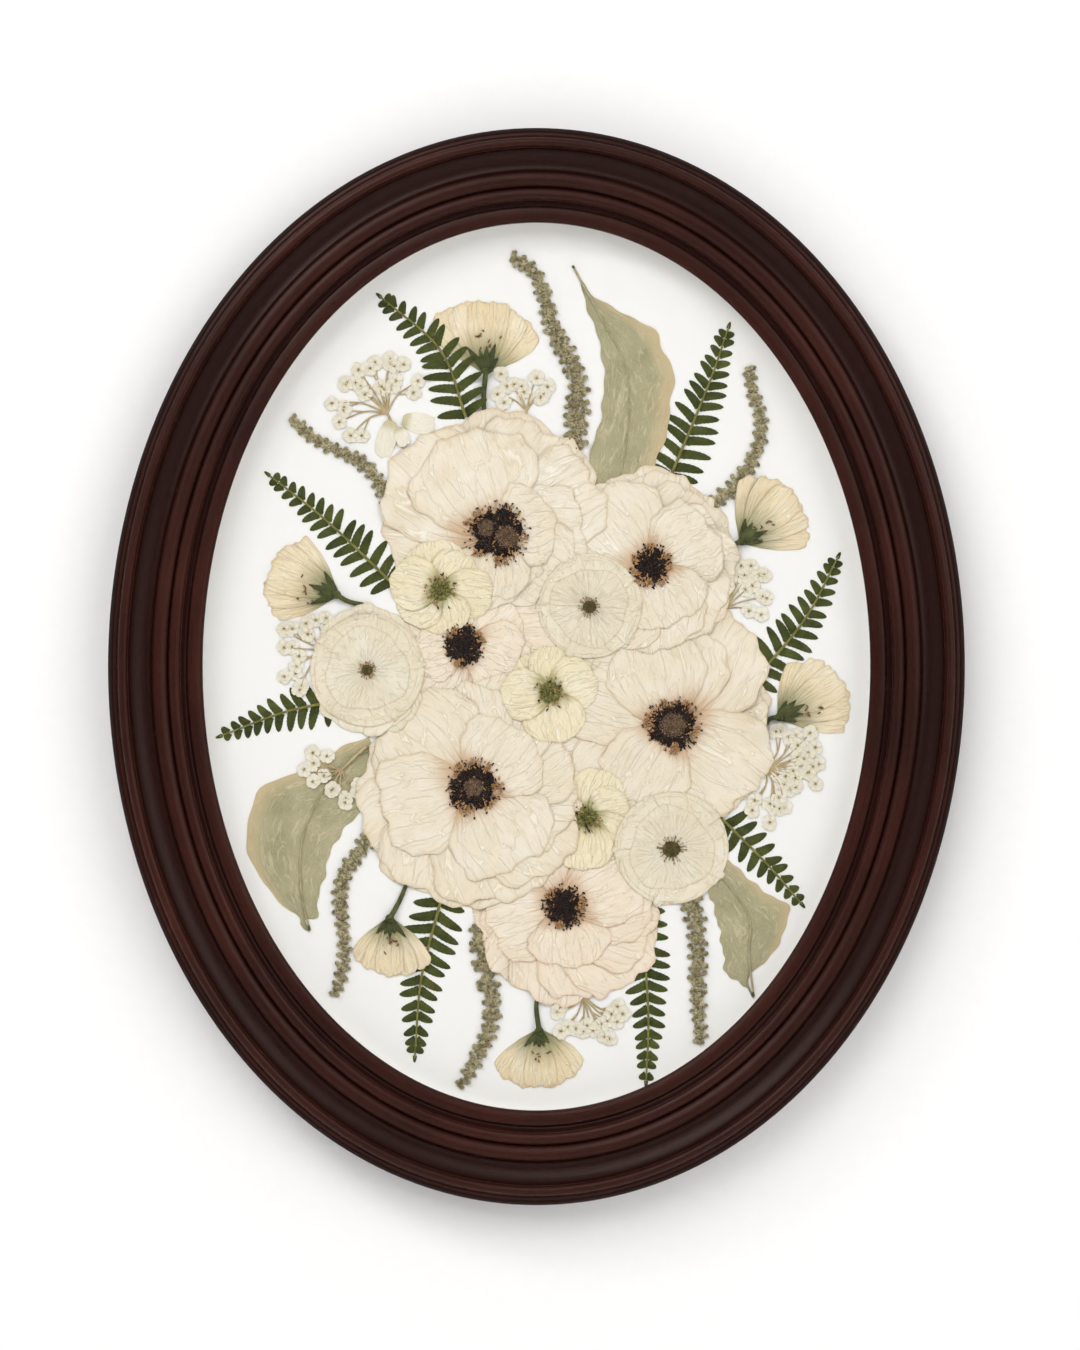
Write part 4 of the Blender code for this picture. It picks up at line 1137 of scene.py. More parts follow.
@dataclass
class Stage:
    """The pale wall and floor, the soft lights and the camera."""

    wall_half: float = 3.2
    wall_gap: float = 0.0006
    floor_below: float = 1.3
    covered: tuple = (0.189, 0.2386)
    paint_light: tuple = (0.93, 0.925, 0.92)
    paint_dark: tuple = (0.90, 0.895, 0.89)
    camera_x: float = 0.0016
    camera_z: float = -0.2248
    distance: float = 2.0
    frame_plane: float = 24.0
    view_width: float = 484.8
    sensor: float = 36.0
    room_light: float = 0.63
    room_colour: tuple = (1.0, 0.995, 0.985)
    room_dark: tuple = (0.14, 0.14, 0.14)
    lamps: tuple = (("key", (-0.75, -2.35, 1.18), 1.8, 34.0), ("strip", (-1.25, -1.25, 1.15), 0.34, 5.0),
                    ("fill", (1.5, -2.2, 0.5), 1.8, 20.0), ("back", (1.2, 1.8, 0.8), 1.5, 30.0))

    def paint(self, name: str, is_wall: bool) -> bpy.types.Material:
        """Make the matt paint of the wall or the floor.

        Args:
            name: The material's name.
            is_wall: Whether it is the wall's: that vanishes from behind and where the frame covers it, so
                that the frame's back can be seen and lit in views from behind.

        Returns:
            The material.
        """
        material, wiring, shader = new_material(name)
        place = wiring.object_coordinates()
        grain = wiring.noise(place, 160.0, 3.0)
        wiring.feed(shader, {"Base Color": wiring.mix(grain, self.paint_light, self.paint_dark),
                             "Normal": wiring.bump(grain, 0.1, 0.0002), "Roughness": 0.95,
                             "Specular IOR Level": 0.1})
        if is_wall:
            wide, high = self.covered
            below = self.wall_half - self.floor_below + CENTRE_BELOW_HANGER * MM
            scaled = wiring.add("VectorMath", {0: place, 1: (1.0 / wide, 1.0 / high, 0.0),
                                               2: (0.0, below / high, 0.0)}, operation="MULTIPLY_ADD")
            reach = wiring.add("VectorMath", {0: scaled.outputs[0]}, operation="LENGTH").outputs["Value"]
            backfacing = wiring.add("NewGeometry").outputs["Backfacing"]
            inside = wiring.math("LESS_THAN", reach, 1.0)
            wiring.let_through(shader, wiring.math("MAXIMUM", backfacing, inside))
        return material

    def plane(self, name: str, place: tuple, tilt: float) -> bpy.types.Object:
        """Add a large painted square.

        Args:
            name: Its name.
            place: Its middle.
            tilt: How far it stands up from level, in degrees.

        Returns:
            The square.
        """
        select_only()
        bpy.ops.mesh.primitive_plane_add(size=2.0 * self.wall_half, location=place,
                                         rotation=(math.radians(tilt), 0.0, 0.0))
        plane = bpy.context.active_object
        plane.name = name
        plane.data.materials.append(self.paint(f"{name}_paint", name == "wall"))
        return plane

    def surfaces(self) -> None:
        """Add the wall behind the frame and the floor below it."""
        wall = self.plane("wall", (0.0, self.wall_gap, self.wall_half - self.floor_below), 90.0)
        floor = self.plane("floor", (0.0, -self.wall_half, -self.floor_below), 0.0)

    def lights(self) -> None:
        """Add the even room light, darker straight ahead and behind, and the square soft lamps."""
        world = bpy.data.worlds.new("room_light")
        world.use_nodes = True
        wiring = Wiring(world.node_tree)
        facing = wiring.add("SeparateXYZ", {0: wiring.add("TexCoord").outputs["Generated"]})
        dark = wiring.ramp(wiring.math("ABSOLUTE", facing.outputs[1]), 0.7, 0.95)
        colour = wiring.mix(dark, self.room_colour, self.room_dark)
        wiring.feed(world.node_tree.nodes["Background"], {0: colour, 1: self.room_light})
        bpy.context.scene.world = world
        middle = Vector((0.0, 0.0, -CENTRE_BELOW_HANGER * MM))
        for name, place, size, power in self.lamps:
            lamp = bpy.data.lights.new(name, "AREA")
            lamp.size = size
            lamp.energy = power
            obj = bpy.data.objects.new(name, lamp)
            obj.location = place
            obj.rotation_euler = (middle - Vector(place)).to_track_quat("-Z", "Y").to_euler()
            bpy.context.scene.collection.objects.link(obj)

    def camera(self) -> None:
        """Add the camera, square on to the frame."""
        camera = bpy.data.cameras.new("camera")
        camera.sensor_fit = "HORIZONTAL"
        camera.sensor_width = self.sensor
        camera.lens = self.sensor * self.distance / (self.view_width * MM)
        camera.clip_end = 50.0
        obj = bpy.data.objects.new("camera", camera)
        obj.location = (self.camera_x, -self.distance - self.frame_plane * MM, self.camera_z)
        obj.rotation_euler = (math.radians(90.0), 0.0, 0.0)
        bpy.context.scene.collection.objects.link(obj)
        bpy.context.scene.camera = obj

    def build(self) -> None:
        """Set the stage."""
        self.surfaces()
        self.lights()
        self.camera()
        bpy.context.scene.view_settings.view_transform = "Standard"


@dataclass(frozen=True)
class PetalCut:
    """How a petal is cut: proportions of its outline and strength of its relief."""

    foot: float = 0.3
    fullest: float = 0.72
    belly: float = 0.8
    tip: float = 0.94
    round_off: float = 0.05
    corner: float = 4.0
    wave: float = 0.032
    relief: float = 0.14
    crease_size: float = 3.4
    across: int = 24
    along: int = 28
    thick: float = 0.1

    def points(self, start: float, reach: float, width: float, rng: np.random.Generator) -> np.ndarray:
        """Cut one petal that points along +Y from the flower's middle.

        Args:
            start: Distance of its foot from the middle.
            reach: Distance of its tip from the middle.
            width: Its greatest width.
            rng: Source of the random draws.

        Returns:
            The points of its grid with their relief.
        """
        shape = grid_shape(self.across, self.along)
        side, way = shape.values["across"], shape.values["along"]
        grow = np.sin(0.5 * math.pi * np.clip(way / self.fullest, 0.0, 1.0)) ** self.belly
        late = np.clip((way - self.fullest) / (1.0 - self.fullest), 0.0, 1.0)
        half = 0.5 * width * (self.foot + (1.0 - self.foot) * grow) * (1.0 - (1.0 - self.tip) * late ** 2)
        phases = rng.uniform(0.0, DRAWN_TURN, 8)
        edge = np.abs(side) ** 2
        ripple = (np.sin(way * 9.0 + phases[0] + side)
                  + 0.6 * np.sin(way * 21.0 + phases[1] + 2.0 * side)) * edge
        tip_ripple = (np.sin(side * 4.0 + phases[2]) + 0.7 * np.sin(side * 9.0 + phases[3])
                      + 0.35 * np.sin(side * 19.0 + phases[4])) * way ** 4
        x = half * side * (1.0 + self.wave * ripple)
        tip_line = np.sqrt(np.maximum(reach ** 2 - (0.5 * width * self.tip * side) ** 2, (0.4 * reach) ** 2))
        tip_line *= 1.0 - self.round_off * np.abs(side) ** self.corner
        y = start + (tip_line * (1.0 + self.wave * tip_ripple) - start) * way
        relief = creased(x, y, rng, 5, self.crease_size, self.relief, 34.0)
        relief += creased(x, y, rng, 3, self.crease_size * 2.2, self.relief, 60.0)
        relief += self.relief * 0.5 * np.clip((np.abs(side) - 0.88) / 0.12, 0.0, 1.0)
        relief *= np.clip(way * 3.0, 0.0, 1.0)
        return np.column_stack([x, y, relief])

    def lay(self, specimen: Specimen, finish: str, centre: Point2, direction: float, start: float,
            reach: float, width: float, settle: int = 4) -> None:
        """Cut a petal and lay it.

        Args:
            specimen: The specimen that it belongs to.
            finish: Key of its finish.
            centre: Middle of the flower.
            direction: Where it points, in degrees.
            start: Distance of its foot from the middle.
            reach: Distance of its tip from the middle.
            width: Its greatest width.
            settle: How far the petal bridges steps below it.
        """
        points = turned(self.points(start, reach, width, specimen.rng), direction - 90.0, centre)
        if settle:
            specimen.bed.settle(settle)
        specimen.lay(finish, grid_shape(self.across, self.along), points, self.thick,
                     tone=specimen.rng.uniform())


def stamen_ring(specimen: Specimen, centre: Point2, inner: float, outer: float, count: int, anther: str,
                filament: str, anther_size: float = 0.62) -> None:
    """Lay a ring of flattened stamens: thin filaments that end in anthers.

    Args:
        specimen: The specimen that they belong to.
        centre: Middle of the flower.
        inner: Distance where the filaments start.
        outer: Distance that the longest reach.
        count: How many there are.
        anther: Key of the anthers' finish.
        filament: Key of the filaments' finish.
        anther_size: Half length of an anther.
    """
    rng = specimen.rng
    turns = np.arange(count) * FULL_TURN / count + rng.normal(0.0, 0.12, count)
    reach = inner + (outer - inner) * np.sqrt(rng.uniform(0.08, 1.0, count))
    middle = np.array(centre)
    heads = middle + rays(turns, reach[:, None])
    feet = middle + rays(turns, inner * 0.6)
    lengths = np.linalg.norm(heads - feet, axis=1)
    thread = tube_shape(np.column_stack([np.linspace(-0.5, 0.5, 4), [0.0, 0.03, -0.02, 0.0], np.zeros(4)]),
                        np.array([0.11, 0.1, 0.09, 0.07]), 5)
    ones = np.ones(count)
    specimen.scatter(filament, thread, 0.5 * (heads + feet), 0.25, np.column_stack([lengths, ones, ones]),
                     turns, rng.uniform(0.0, 1.0, count))
    sizes = np.column_stack([rng.uniform(0.8, 1.25, count), rng.uniform(0.55, 0.8, count),
                             np.full(count, 0.55)])
    specimen.scatter(anther, ball_shape(1), heads, 0.42, sizes * anther_size,
                     turns + rng.normal(0.0, 0.7, count), rng.uniform(0.0, 1.0, count))


def anther_mass(specimen: Specimen, centre: Point2, inner: Point2, outer: float, count: int,
                finish: str) -> None:
    """Pile short anthers at all angles between the core and the fringe.

    Args:
        specimen: The specimen that they belong to.
        centre: Middle of the flower.
        inner: Half width and half height of the core that they leave free.
        outer: Distance that they reach.
        count: How many there are.
        finish: Key of their finish.
    """
    rng = specimen.rng
    turns = rng.uniform(0.0, FULL_TURN, count)
    out = rng.uniform(0.0, 1.0, count) ** 0.8
    phase = rng.uniform(0.0, DRAWN_PHASE)
    ragged = outer * (1.0 + 0.1 * np.sin(turns * 3.0 + phase) + 0.07 * np.sin(turns * 7.0))
    radius_x = inner[0] + (ragged - inner[0]) * out
    radius_y = inner[1] + (ragged - inner[1]) * out
    places = np.array(centre) + rays(turns, np.column_stack([radius_x, radius_y]))
    sizes = np.column_stack([rng.uniform(0.6, 1.25, count), rng.uniform(0.32, 0.5, count),
                             rng.uniform(0.3, 0.5, count)])
    lift = 0.3 + 0.9 * (1.0 - out) * rng.uniform(0.2, 1.0, count)
    specimen.scatter(finish, ball_shape(1), places, lift, sizes, turns + rng.normal(0.0, 0.8, count),
                     rng.uniform(0.0, 1.0, count))


def anther_clumps(specimen: Specimen, centre: Point2, near: float, far: float, clumps: int,
                  finish: str) -> None:
    """Lay tight bunches of anthers here and there round the core.

    Args:
        specimen: The specimen that they belong to.
        centre: Middle of the flower.
        near: Least distance from the middle.
        far: Greatest distance.
        clumps: How many bunches there are.
        finish: Key of their finish.
    """
    rng = specimen.rng
    count = clumps * CLUMP
    heart = np.repeat(np.arange(clumps) * FULL_TURN / clumps + rng.normal(0.0, 0.3, clumps), CLUMP)
    turns = heart + rng.normal(0.0, 0.17, count)
    radius = rng.uniform(near, far, count)
    places = np.array(centre) + rays(turns, radius[:, None])
    sizes = np.column_stack([rng.uniform(0.6, 1.3, count), rng.uniform(0.3, 0.5, count),
                             rng.uniform(0.3, 0.45, count)])
    specimen.scatter(finish, ball_shape(1), places, rng.uniform(0.6, 1.3, count), sizes,
                     turns + rng.normal(0.0, 0.5, count), rng.uniform(0.0, 1.0, count))


def seed_dome(specimen: Specimen, centre: Point2, radii: Point2, height: float, lumps: int,
              finish: str) -> None:
    """Build a flattened dome that is packed with small lumps.

    Args:
        specimen: The specimen that it belongs to.
        centre: Its middle.
        radii: Its half width and half height on the bench.
        height: How far it stands up.
        lumps: How many lumps cover it.
        finish: Key of its finish.
    """
    rng = specimen.rng
    ball = ball_shape(3)
    body = ball.points * np.array([radii[0], radii[1], height])
    body[:, 2] = np.maximum(body[:, 2], -0.1)
    body[:, 0] += centre[0]
    body[:, 1] += centre[1]
    specimen.stick(finish, ball, body, tone=0.8)
    order = np.arange(lumps) + 0.5
    out = np.sqrt(order / lumps)
    turns = order * GOLDEN_TURN
    spots = rays(turns, radii) * out[:, None]
    size = 1.1 * math.sqrt(radii[0] * radii[1] / lumps)
    sizes = rng.uniform(0.6, 1.3, (lumps, 3)) * size
    base = specimen.bed.height(np.array([centre[0]]), np.array([centre[1]]))[0]
    rise = base + height * np.sqrt(np.clip(1.0 - out ** 2, 0.0, 1.0)) + 0.1
    places = np.column_stack([spots + np.array(centre), rise])
    specimen.repeat(finish, ball_shape(1), places, sizes, rng.uniform(0.0, 0.5 * DRAWN_TURN, lumps),
                    rng.uniform(0.0, 1.0, lumps))


@dataclass(frozen=True)
class Pressed:
    """A pressed piece that is laid on the board: the CAD node that it stands for, and its seed."""

    slot: ClassVar[str]

    node: str
    seed: int

    def lay(self, specimen: Specimen) -> None:
        """Lay the parts of the piece, which each kind does in its own way."""
        raise NotImplementedError

    def build(self, bed: PressBed, materials: dict[str, bpy.types.Material]) -> None:
        """Lay the piece and put it in its node's place.

        Args:
            bed: What lies on the board so far.
            materials: The finishes.
        """
        specimen = Specimen(self.node, self.seed, bed, materials)
        self.lay(specimen)
        specimen.finish(self.slot)


@dataclass(frozen=True)
class Anemone(Pressed):
    """An open flower with two whorls of broad petals round dark stamens."""

    slot: ClassVar[str] = "anemone_petal"

    centre: Point2
    petals: tuple
    core: float
    fringe: float
    domes: tuple
    dome_finish: str = "core_dark"
    petal_finish: str = "anemone_petal"
    inner: int = 3
    stamens: int = 46
    lumps: int = 13
    clumps: int = 7
    cut: PetalCut = PetalCut()

    def lay(self, specimen: Specimen) -> None:
        """Lay the petals, the stamens and the core.

        Args:
            specimen: The piece being laid.
        """
        rng, bed = specimen.rng, specimen.bed
        for direction, reach, width in self.petals:
            self.cut.lay(specimen, self.petal_finish, self.centre, direction, self.core * 0.3, reach,
                         width * 1.25)
        for number in range(self.inner):
            direction, reach, width = self.petals[(number * len(self.petals)) // self.inner]
            self.cut.lay(specimen, self.petal_finish, self.centre, direction + 17.0, self.core * 0.3,
                         reach * rng.uniform(0.62, 0.93), width * 1.1)
        bed.settle(6)
        for number in range(self.lumps):
            turn = number * GOLDEN_TURN + rng.uniform(-0.3, 0.3)
            out = self.fringe * (0.1 + 0.44 * math.sqrt((number + 0.5) / self.lumps))
            size = self.fringe * rng.uniform(0.22, 0.35)
            place = (self.centre[0] + math.cos(turn) * out, self.centre[1] + math.sin(turn) * out)
            seed_dome(specimen, place, (size, size * 0.85), 0.6, 30, "core_dark")
        free = (self.domes[0][2], self.domes[0][3]) if len(self.domes) == 1 else (2.0, 2.0)
        stamen_ring(specimen, self.centre, self.core * 0.6, self.fringe, self.stamens, "anther_dark",
                    "filament")
        for finish, reach, share in (("anther_dark", 0.8, 3.4), ("anther_gold", 0.9, 0.8)):
            anther_mass(specimen, self.centre, free, self.fringe * reach, int(self.stamens * share), finish)
        anther_clumps(specimen, self.centre, self.fringe * 0.6, self.fringe * 0.92, self.clumps,
                      "anther_gold")
        for across, up, half_width, half_height in self.domes:
            seed_dome(specimen, (self.centre[0] + across, self.centre[1] + up), (half_width, half_height),
                      1.9, 90, self.dome_finish)


@dataclass(frozen=True)
class Ranunculus(Pressed):
    """A disc of many rounded petals that lie in rings round a small knob."""

    slot: ClassVar[str] = "ranunculus_petal"

    centre: Point2
    disc: float
    core: float
    petals: tuple = ()
    rings: tuple = ((1.0, 6), (0.92, 5))
    heart: float = 0.74
    step: float = 0.06
    knob: str = "knob_green"
    cut: PetalCut = PetalCut(0.5, 0.7, 0.8, 0.97, 0.03, 4.0, 0.008, 0.07, 3.0, 18, 16, 0.06)

    def ring(self, specimen: Specimen, level: int, share: float, count: int,
             base: float) -> None:
        """Lay one ring of petals, each over one neighbour and under the other.

        Args:
            specimen: The specimen.
            level: Number of the ring, from 0 outside.
            share: Its radius as a share of the disc.
            count: How many petals it has.
            base: Height that the outer ring rests on.
        """
        rng = specimen.rng
        shape = grid_shape(self.cut.across, self.cut.along)
        offset = rng.uniform(0.0, 360.0)
        for number in range(count):
            radius = self.disc * share * rng.uniform(0.96, 1.02)
            width = radius * FULL_TURN / count * 1.7
            points = self.cut.points(radius * 0.12, radius, width, rng)
            slope = 0.05 * (shape.values["across"] + 1.0) + 0.06 * (1.0 - shape.values["along"])
            points[:, 2] += slope + self.step * level
            points = turned(points, offset + number * 360.0 / count + rng.normal(0.0, 3.0), self.centre)
            rest = specimen.bed.height(points[:, 0], points[:, 1])
            points[:, 2] += np.maximum(rest, base - 0.9) if level == 0 else np.maximum(rest, base)
            specimen.pile("ranunculus_petal", self.cut.thick).add(points, shape.faces, tone=rng.uniform(),
                                                                  **shape.values)

    def lay_heart(self, specimen: Specimen, level: int, base: float) -> None:
        """Lay the crumpled inner petals as one round sheet, so that no gap opens at the middle.

        Args:
            specimen: The specimen.
            level: How many rings lie below it.
            base: Height that the outer ring rests on.
        """
        rng = specimen.rng
        shape = grid_shape(40, 40)
        across, up = shape.values["across"], 2.0 * shape.values["along"] - 1.0
        x, y = across * np.sqrt(1.0 - 0.5 * up ** 2), up * np.sqrt(1.0 - 0.5 * across ** 2)
        out, angle = np.hypot(x, y), np.arctan2(y, x)
        ragged = 1.0 + 0.06 * np.sin(angle * 3.0 + rng.uniform(0.0, DRAWN_PHASE)) + 0.02 * np.sin(angle * 8.0)
        radius = self.disc * self.heart
        swirl = np.abs(np.sin(angle * 2.5 + out * 3.0 + rng.uniform(0.0, DRAWN_PHASE)))
        relief = creased(x * radius, y * radius, rng, 6, 2.6, 0.1, 90.0) + 0.16 * (1.0 - swirl) ** 3 * out
        points = np.column_stack([x * radius * ragged + self.centre[0], y * radius * ragged + self.centre[1],
                                  relief * np.clip(out * 4.0, 0.0, 1.0) + self.step * level + 0.18])
        points[:, 2] += np.maximum(specimen.bed.height(points[:, 0], points[:, 1]), base)
        specimen.pile("ranunculus_petal", self.cut.thick).add(
            points, shape.faces, across=0.9 * np.arcsin(np.sin(angle * 2.0)) / (0.5 * math.pi), along=out,
            tone=rng.uniform())

    def lay(self, specimen: Specimen) -> None:
        """Lay the loose outer petals, the rings, the heart and the knob.

        Args:
            specimen: The piece being laid.
        """
        bed = specimen.bed
        outer = PetalCut(thick=0.08, relief=0.12, across=18, along=18)
        for direction, reach, width in self.petals:
            outer.lay(specimen, "ranunculus_petal", self.centre, direction, 3.0, reach, width)
        bed.settle(14)
        turns = np.linspace(0.0, DRAWN_TURN, 40)
        base = float(bed.height(self.centre[0] + np.cos(turns) * self.disc * 0.6,
                                self.centre[1] + np.sin(turns) * self.disc * 0.6).mean())
        for level, (share, count) in enumerate(self.rings):
            self.ring(specimen, level, share, count, base)
        self.lay_heart(specimen, len(self.rings), base)
        pile = specimen.piles[("ranunculus_petal", self.cut.thick)]
        bed.press(*np.vstack(pile.points).T)
        bed.settle(2)
        seed_dome(specimen, self.centre, (self.core, self.core * 0.9), 0.9, 60, self.knob)
        stamen_ring(specimen, self.centre, self.core * 0.9, self.core * 1.7, 34, "anther_tan", "filament",
                    0.4)


@dataclass(frozen=True)
class Hellebore(Pressed):
    """A small cream flower with green nectaries and pale stamens."""

    slot: ClassVar[str] = "hellebore_petal"

    centre: Point2
    petals: tuple
    core: float = 5.5
    cut: PetalCut = PetalCut(0.35, 0.66, 0.8, 0.86, 0.1, 3.0, 0.018, 0.1, 2.6, 16, 18, 0.09)

    def lay(self, specimen: Specimen) -> None:
        """Lay the petals, the nectaries and the stamens.

        Args:
            specimen: The piece being laid.
        """
        rng, bed = specimen.rng, specimen.bed
        for direction, reach, width in self.petals:
            self.cut.lay(specimen, "hellebore_petal", self.centre, direction, 0.8, reach, width * 1.25)
        bed.settle(3)
        for finish, free, reach, count in (("nectary", 0.6, 0.9, 44), ("anther_dark", 3.0, 1.6, 7),
                                           ("anther_gold", 2.0, 1.4, 9)):
            anther_mass(specimen, self.centre, (free, free), self.core * reach, count, finish)
        count = 12
        turns = np.arange(count) * FULL_TURN / count
        places = np.array(self.centre) + rays(turns, self.core) * 0.62
        sizes = np.tile([1.5, 0.85, 0.5], (count, 1)) * rng.uniform(0.85, 1.15, (count, 1))
        specimen.scatter("nectary", ball_shape(2), places, 0.4, sizes, turns, rng.uniform(0.0, 1.0, count))
        stamen_ring(specimen, self.centre, self.core * 0.3, self.core * 1.3, 22, "anther_tan", "nectary", 0.5)
        seed_dome(specimen, self.centre, (self.core * 0.32, self.core * 0.3), 0.8, 24, "nectary")


@dataclass(frozen=True)
class Bud(Pressed):
    """A flower pressed from the side: a fan of petals, a calyx and a stem."""

    slot: ClassVar[str] = "bud_petal"

    stem: Point2
    petals: tuple
    fans: int = 5
    cut: PetalCut = PetalCut(0.16, 0.85, 1.1, 0.97, 0.04, 3.0, 0.02, 0.1, 2.6, 18, 20, 0.09)

    def lay(self, specimen: Specimen) -> None:
        """Lay the fan, the sepals and the stem.

        Args:
            specimen: The piece being laid.
        """
        rng, bed = specimen.rng, specimen.bed
        outline = np.array(self.petals)
        foot = 0.5 * (outline[0] + outline[-1])
        spread = outline - foot
        far = np.linalg.norm(spread, axis=1)
        main = math.degrees(math.atan2(*(spread * far[:, None]).sum(axis=0)[::-1]))
        angles = (np.degrees(np.arctan2(spread[:, 1], spread[:, 0])) - main + 180.0) % 360.0 - 180.0
        keep = far > 0.45 * far.max()
        order = np.argsort(angles[keep])
        sorted_angles, sorted_far = angles[keep][order], far[keep][order]
        low, high = sorted_angles[0] * 0.7, sorted_angles[-1] * 0.7
        slots = np.linspace(low, high, self.fans)
        width = math.radians(high - low) / (self.fans - 1) * far.max() * 1.7
        for index in (0, self.fans - 1, 1, self.fans - 2, self.fans // 2):
            reach = float(np.interp(slots[index], sorted_angles, sorted_far))
            self.cut.lay(specimen, "bud_petal", foot, main + slots[index], 0.0, reach,
                         max(width, reach * 0.5))
        bed.settle(2)
        throat = foot + 0.4 * (outline[len(outline) // 2] - foot)
        anther_mass(specimen, throat, (0.5, 0.5), far.max() * 0.2, 9, "filament")
        sepal = PetalCut(0.5, 0.35, 0.7, 0.1, 0.02, 1.6, 0.02, 0.08, 2.0, 8, 10, 0.12)
        for turn in (-44.0, 38.0, -20.0, 17.0, -2.0):
            sepal.lay(specimen, "calyx", foot, main + turn, -1.0, far.max() * rng.uniform(0.24, 0.42),
                      far.max() * 0.1, 2)
        knob = ball_shape(2)
        body = knob.points * np.array([2.1, 2.0, 0.9]) + np.array([foot[0], foot[1], 0.5])
        specimen.stick("calyx", knob, body, tone=0.4)
        bed.settle(2)
        bend = 0.5 * (foot + np.array(self.stem)) + rng.normal(0.0, 0.8, 2)
        way = smooth_way([foot, bend, self.stem], 14)
        specimen.follow("calyx", *tube_of(way, 1.25, 0.95, 9))


@dataclass(frozen=True)
class Fern(Pressed):
    """A frond: a thin midrib with pairs of curved pinnae that shorten to the tip."""

    slot: ClassVar[str] = "fern_frond"

    foot: Point2
    middle: Point2
    tip: Point2
    reach: float
    pitch: float = 5.3

    def lay(self, specimen: Specimen) -> None:
        """Lay the pinnae and the midrib.

        Args:
            specimen: The piece being laid.
        """
        rng, bed = specimen.rng, specimen.bed
        way = smooth_way([self.foot, self.middle, self.tip], 60)
        length = float(np.linalg.norm(np.diff(way, axis=0), axis=1).sum())
        shape = grid_shape(6, 16)
        side, along = shape.values["across"], shape.values["along"]
        pairs = int(length / self.pitch)
        bed.settle(2)
        for number in range(pairs):
            share = 1.0 - (1.0 - (number + 0.3) / pairs) ** 1.12
            at = min(58, int(share * 58.0))
            heading = math.degrees(math.atan2(way[at + 1, 1] - way[at, 1], way[at + 1, 0] - way[at, 0]))
            taper = (1.0 - 0.74 * share ** 1.4) * (0.8 + 0.2 * min(1.0, share * 6.0))
            for hand in (-1.0, 1.0):
                reach = self.reach * taper * rng.uniform(0.93, 1.05)
                width = length / pairs * (0.4 - 0.08 * share)
                half = width * (np.minimum(1.0, 0.7 + along * 2.0) * (1.0 - along ** 3.2) ** 0.6 + 0.01)
                lobe = 0.3 * width * np.exp(-(along / 0.14) ** 2) * (side * -hand > 0.0)
                teeth = 1.0 + 0.07 * np.sin(along * 40.0 + number) * np.abs(side) ** 3
                x = side * (half + lobe) * teeth - hand * reach * 0.12 * along ** 2
                y = along * reach
                relief = 0.12 * (1.0 - np.abs(side)) ** 3 + creased(x, y, rng, 2, 1.6, 0.1, 60.0)
                turn = heading + hand * (71.0 - 20.0 * share) + rng.normal(0.0, 3.0) - 90.0
                points = turned(np.column_stack([x, y, relief]), turn, way[at])
                specimen.lay("fern", shape, points, 0.1, tone=rng.uniform())
        points = np.column_stack([side * 0.9 * np.sqrt(np.clip(1.0 - along ** 2, 0.0, 1.0)),
                                  along * 3.2, np.zeros_like(side)])
        heading = math.degrees(math.atan2(*(way[-1] - way[-3])[::-1]))
        specimen.lay("fern", shape, turned(points, heading - 90.0, way[-2]), 0.1, tone=0.4)
        bed.settle(1)
        specimen.follow("stem_green", *tube_of(way, 0.75, 0.4, 7))


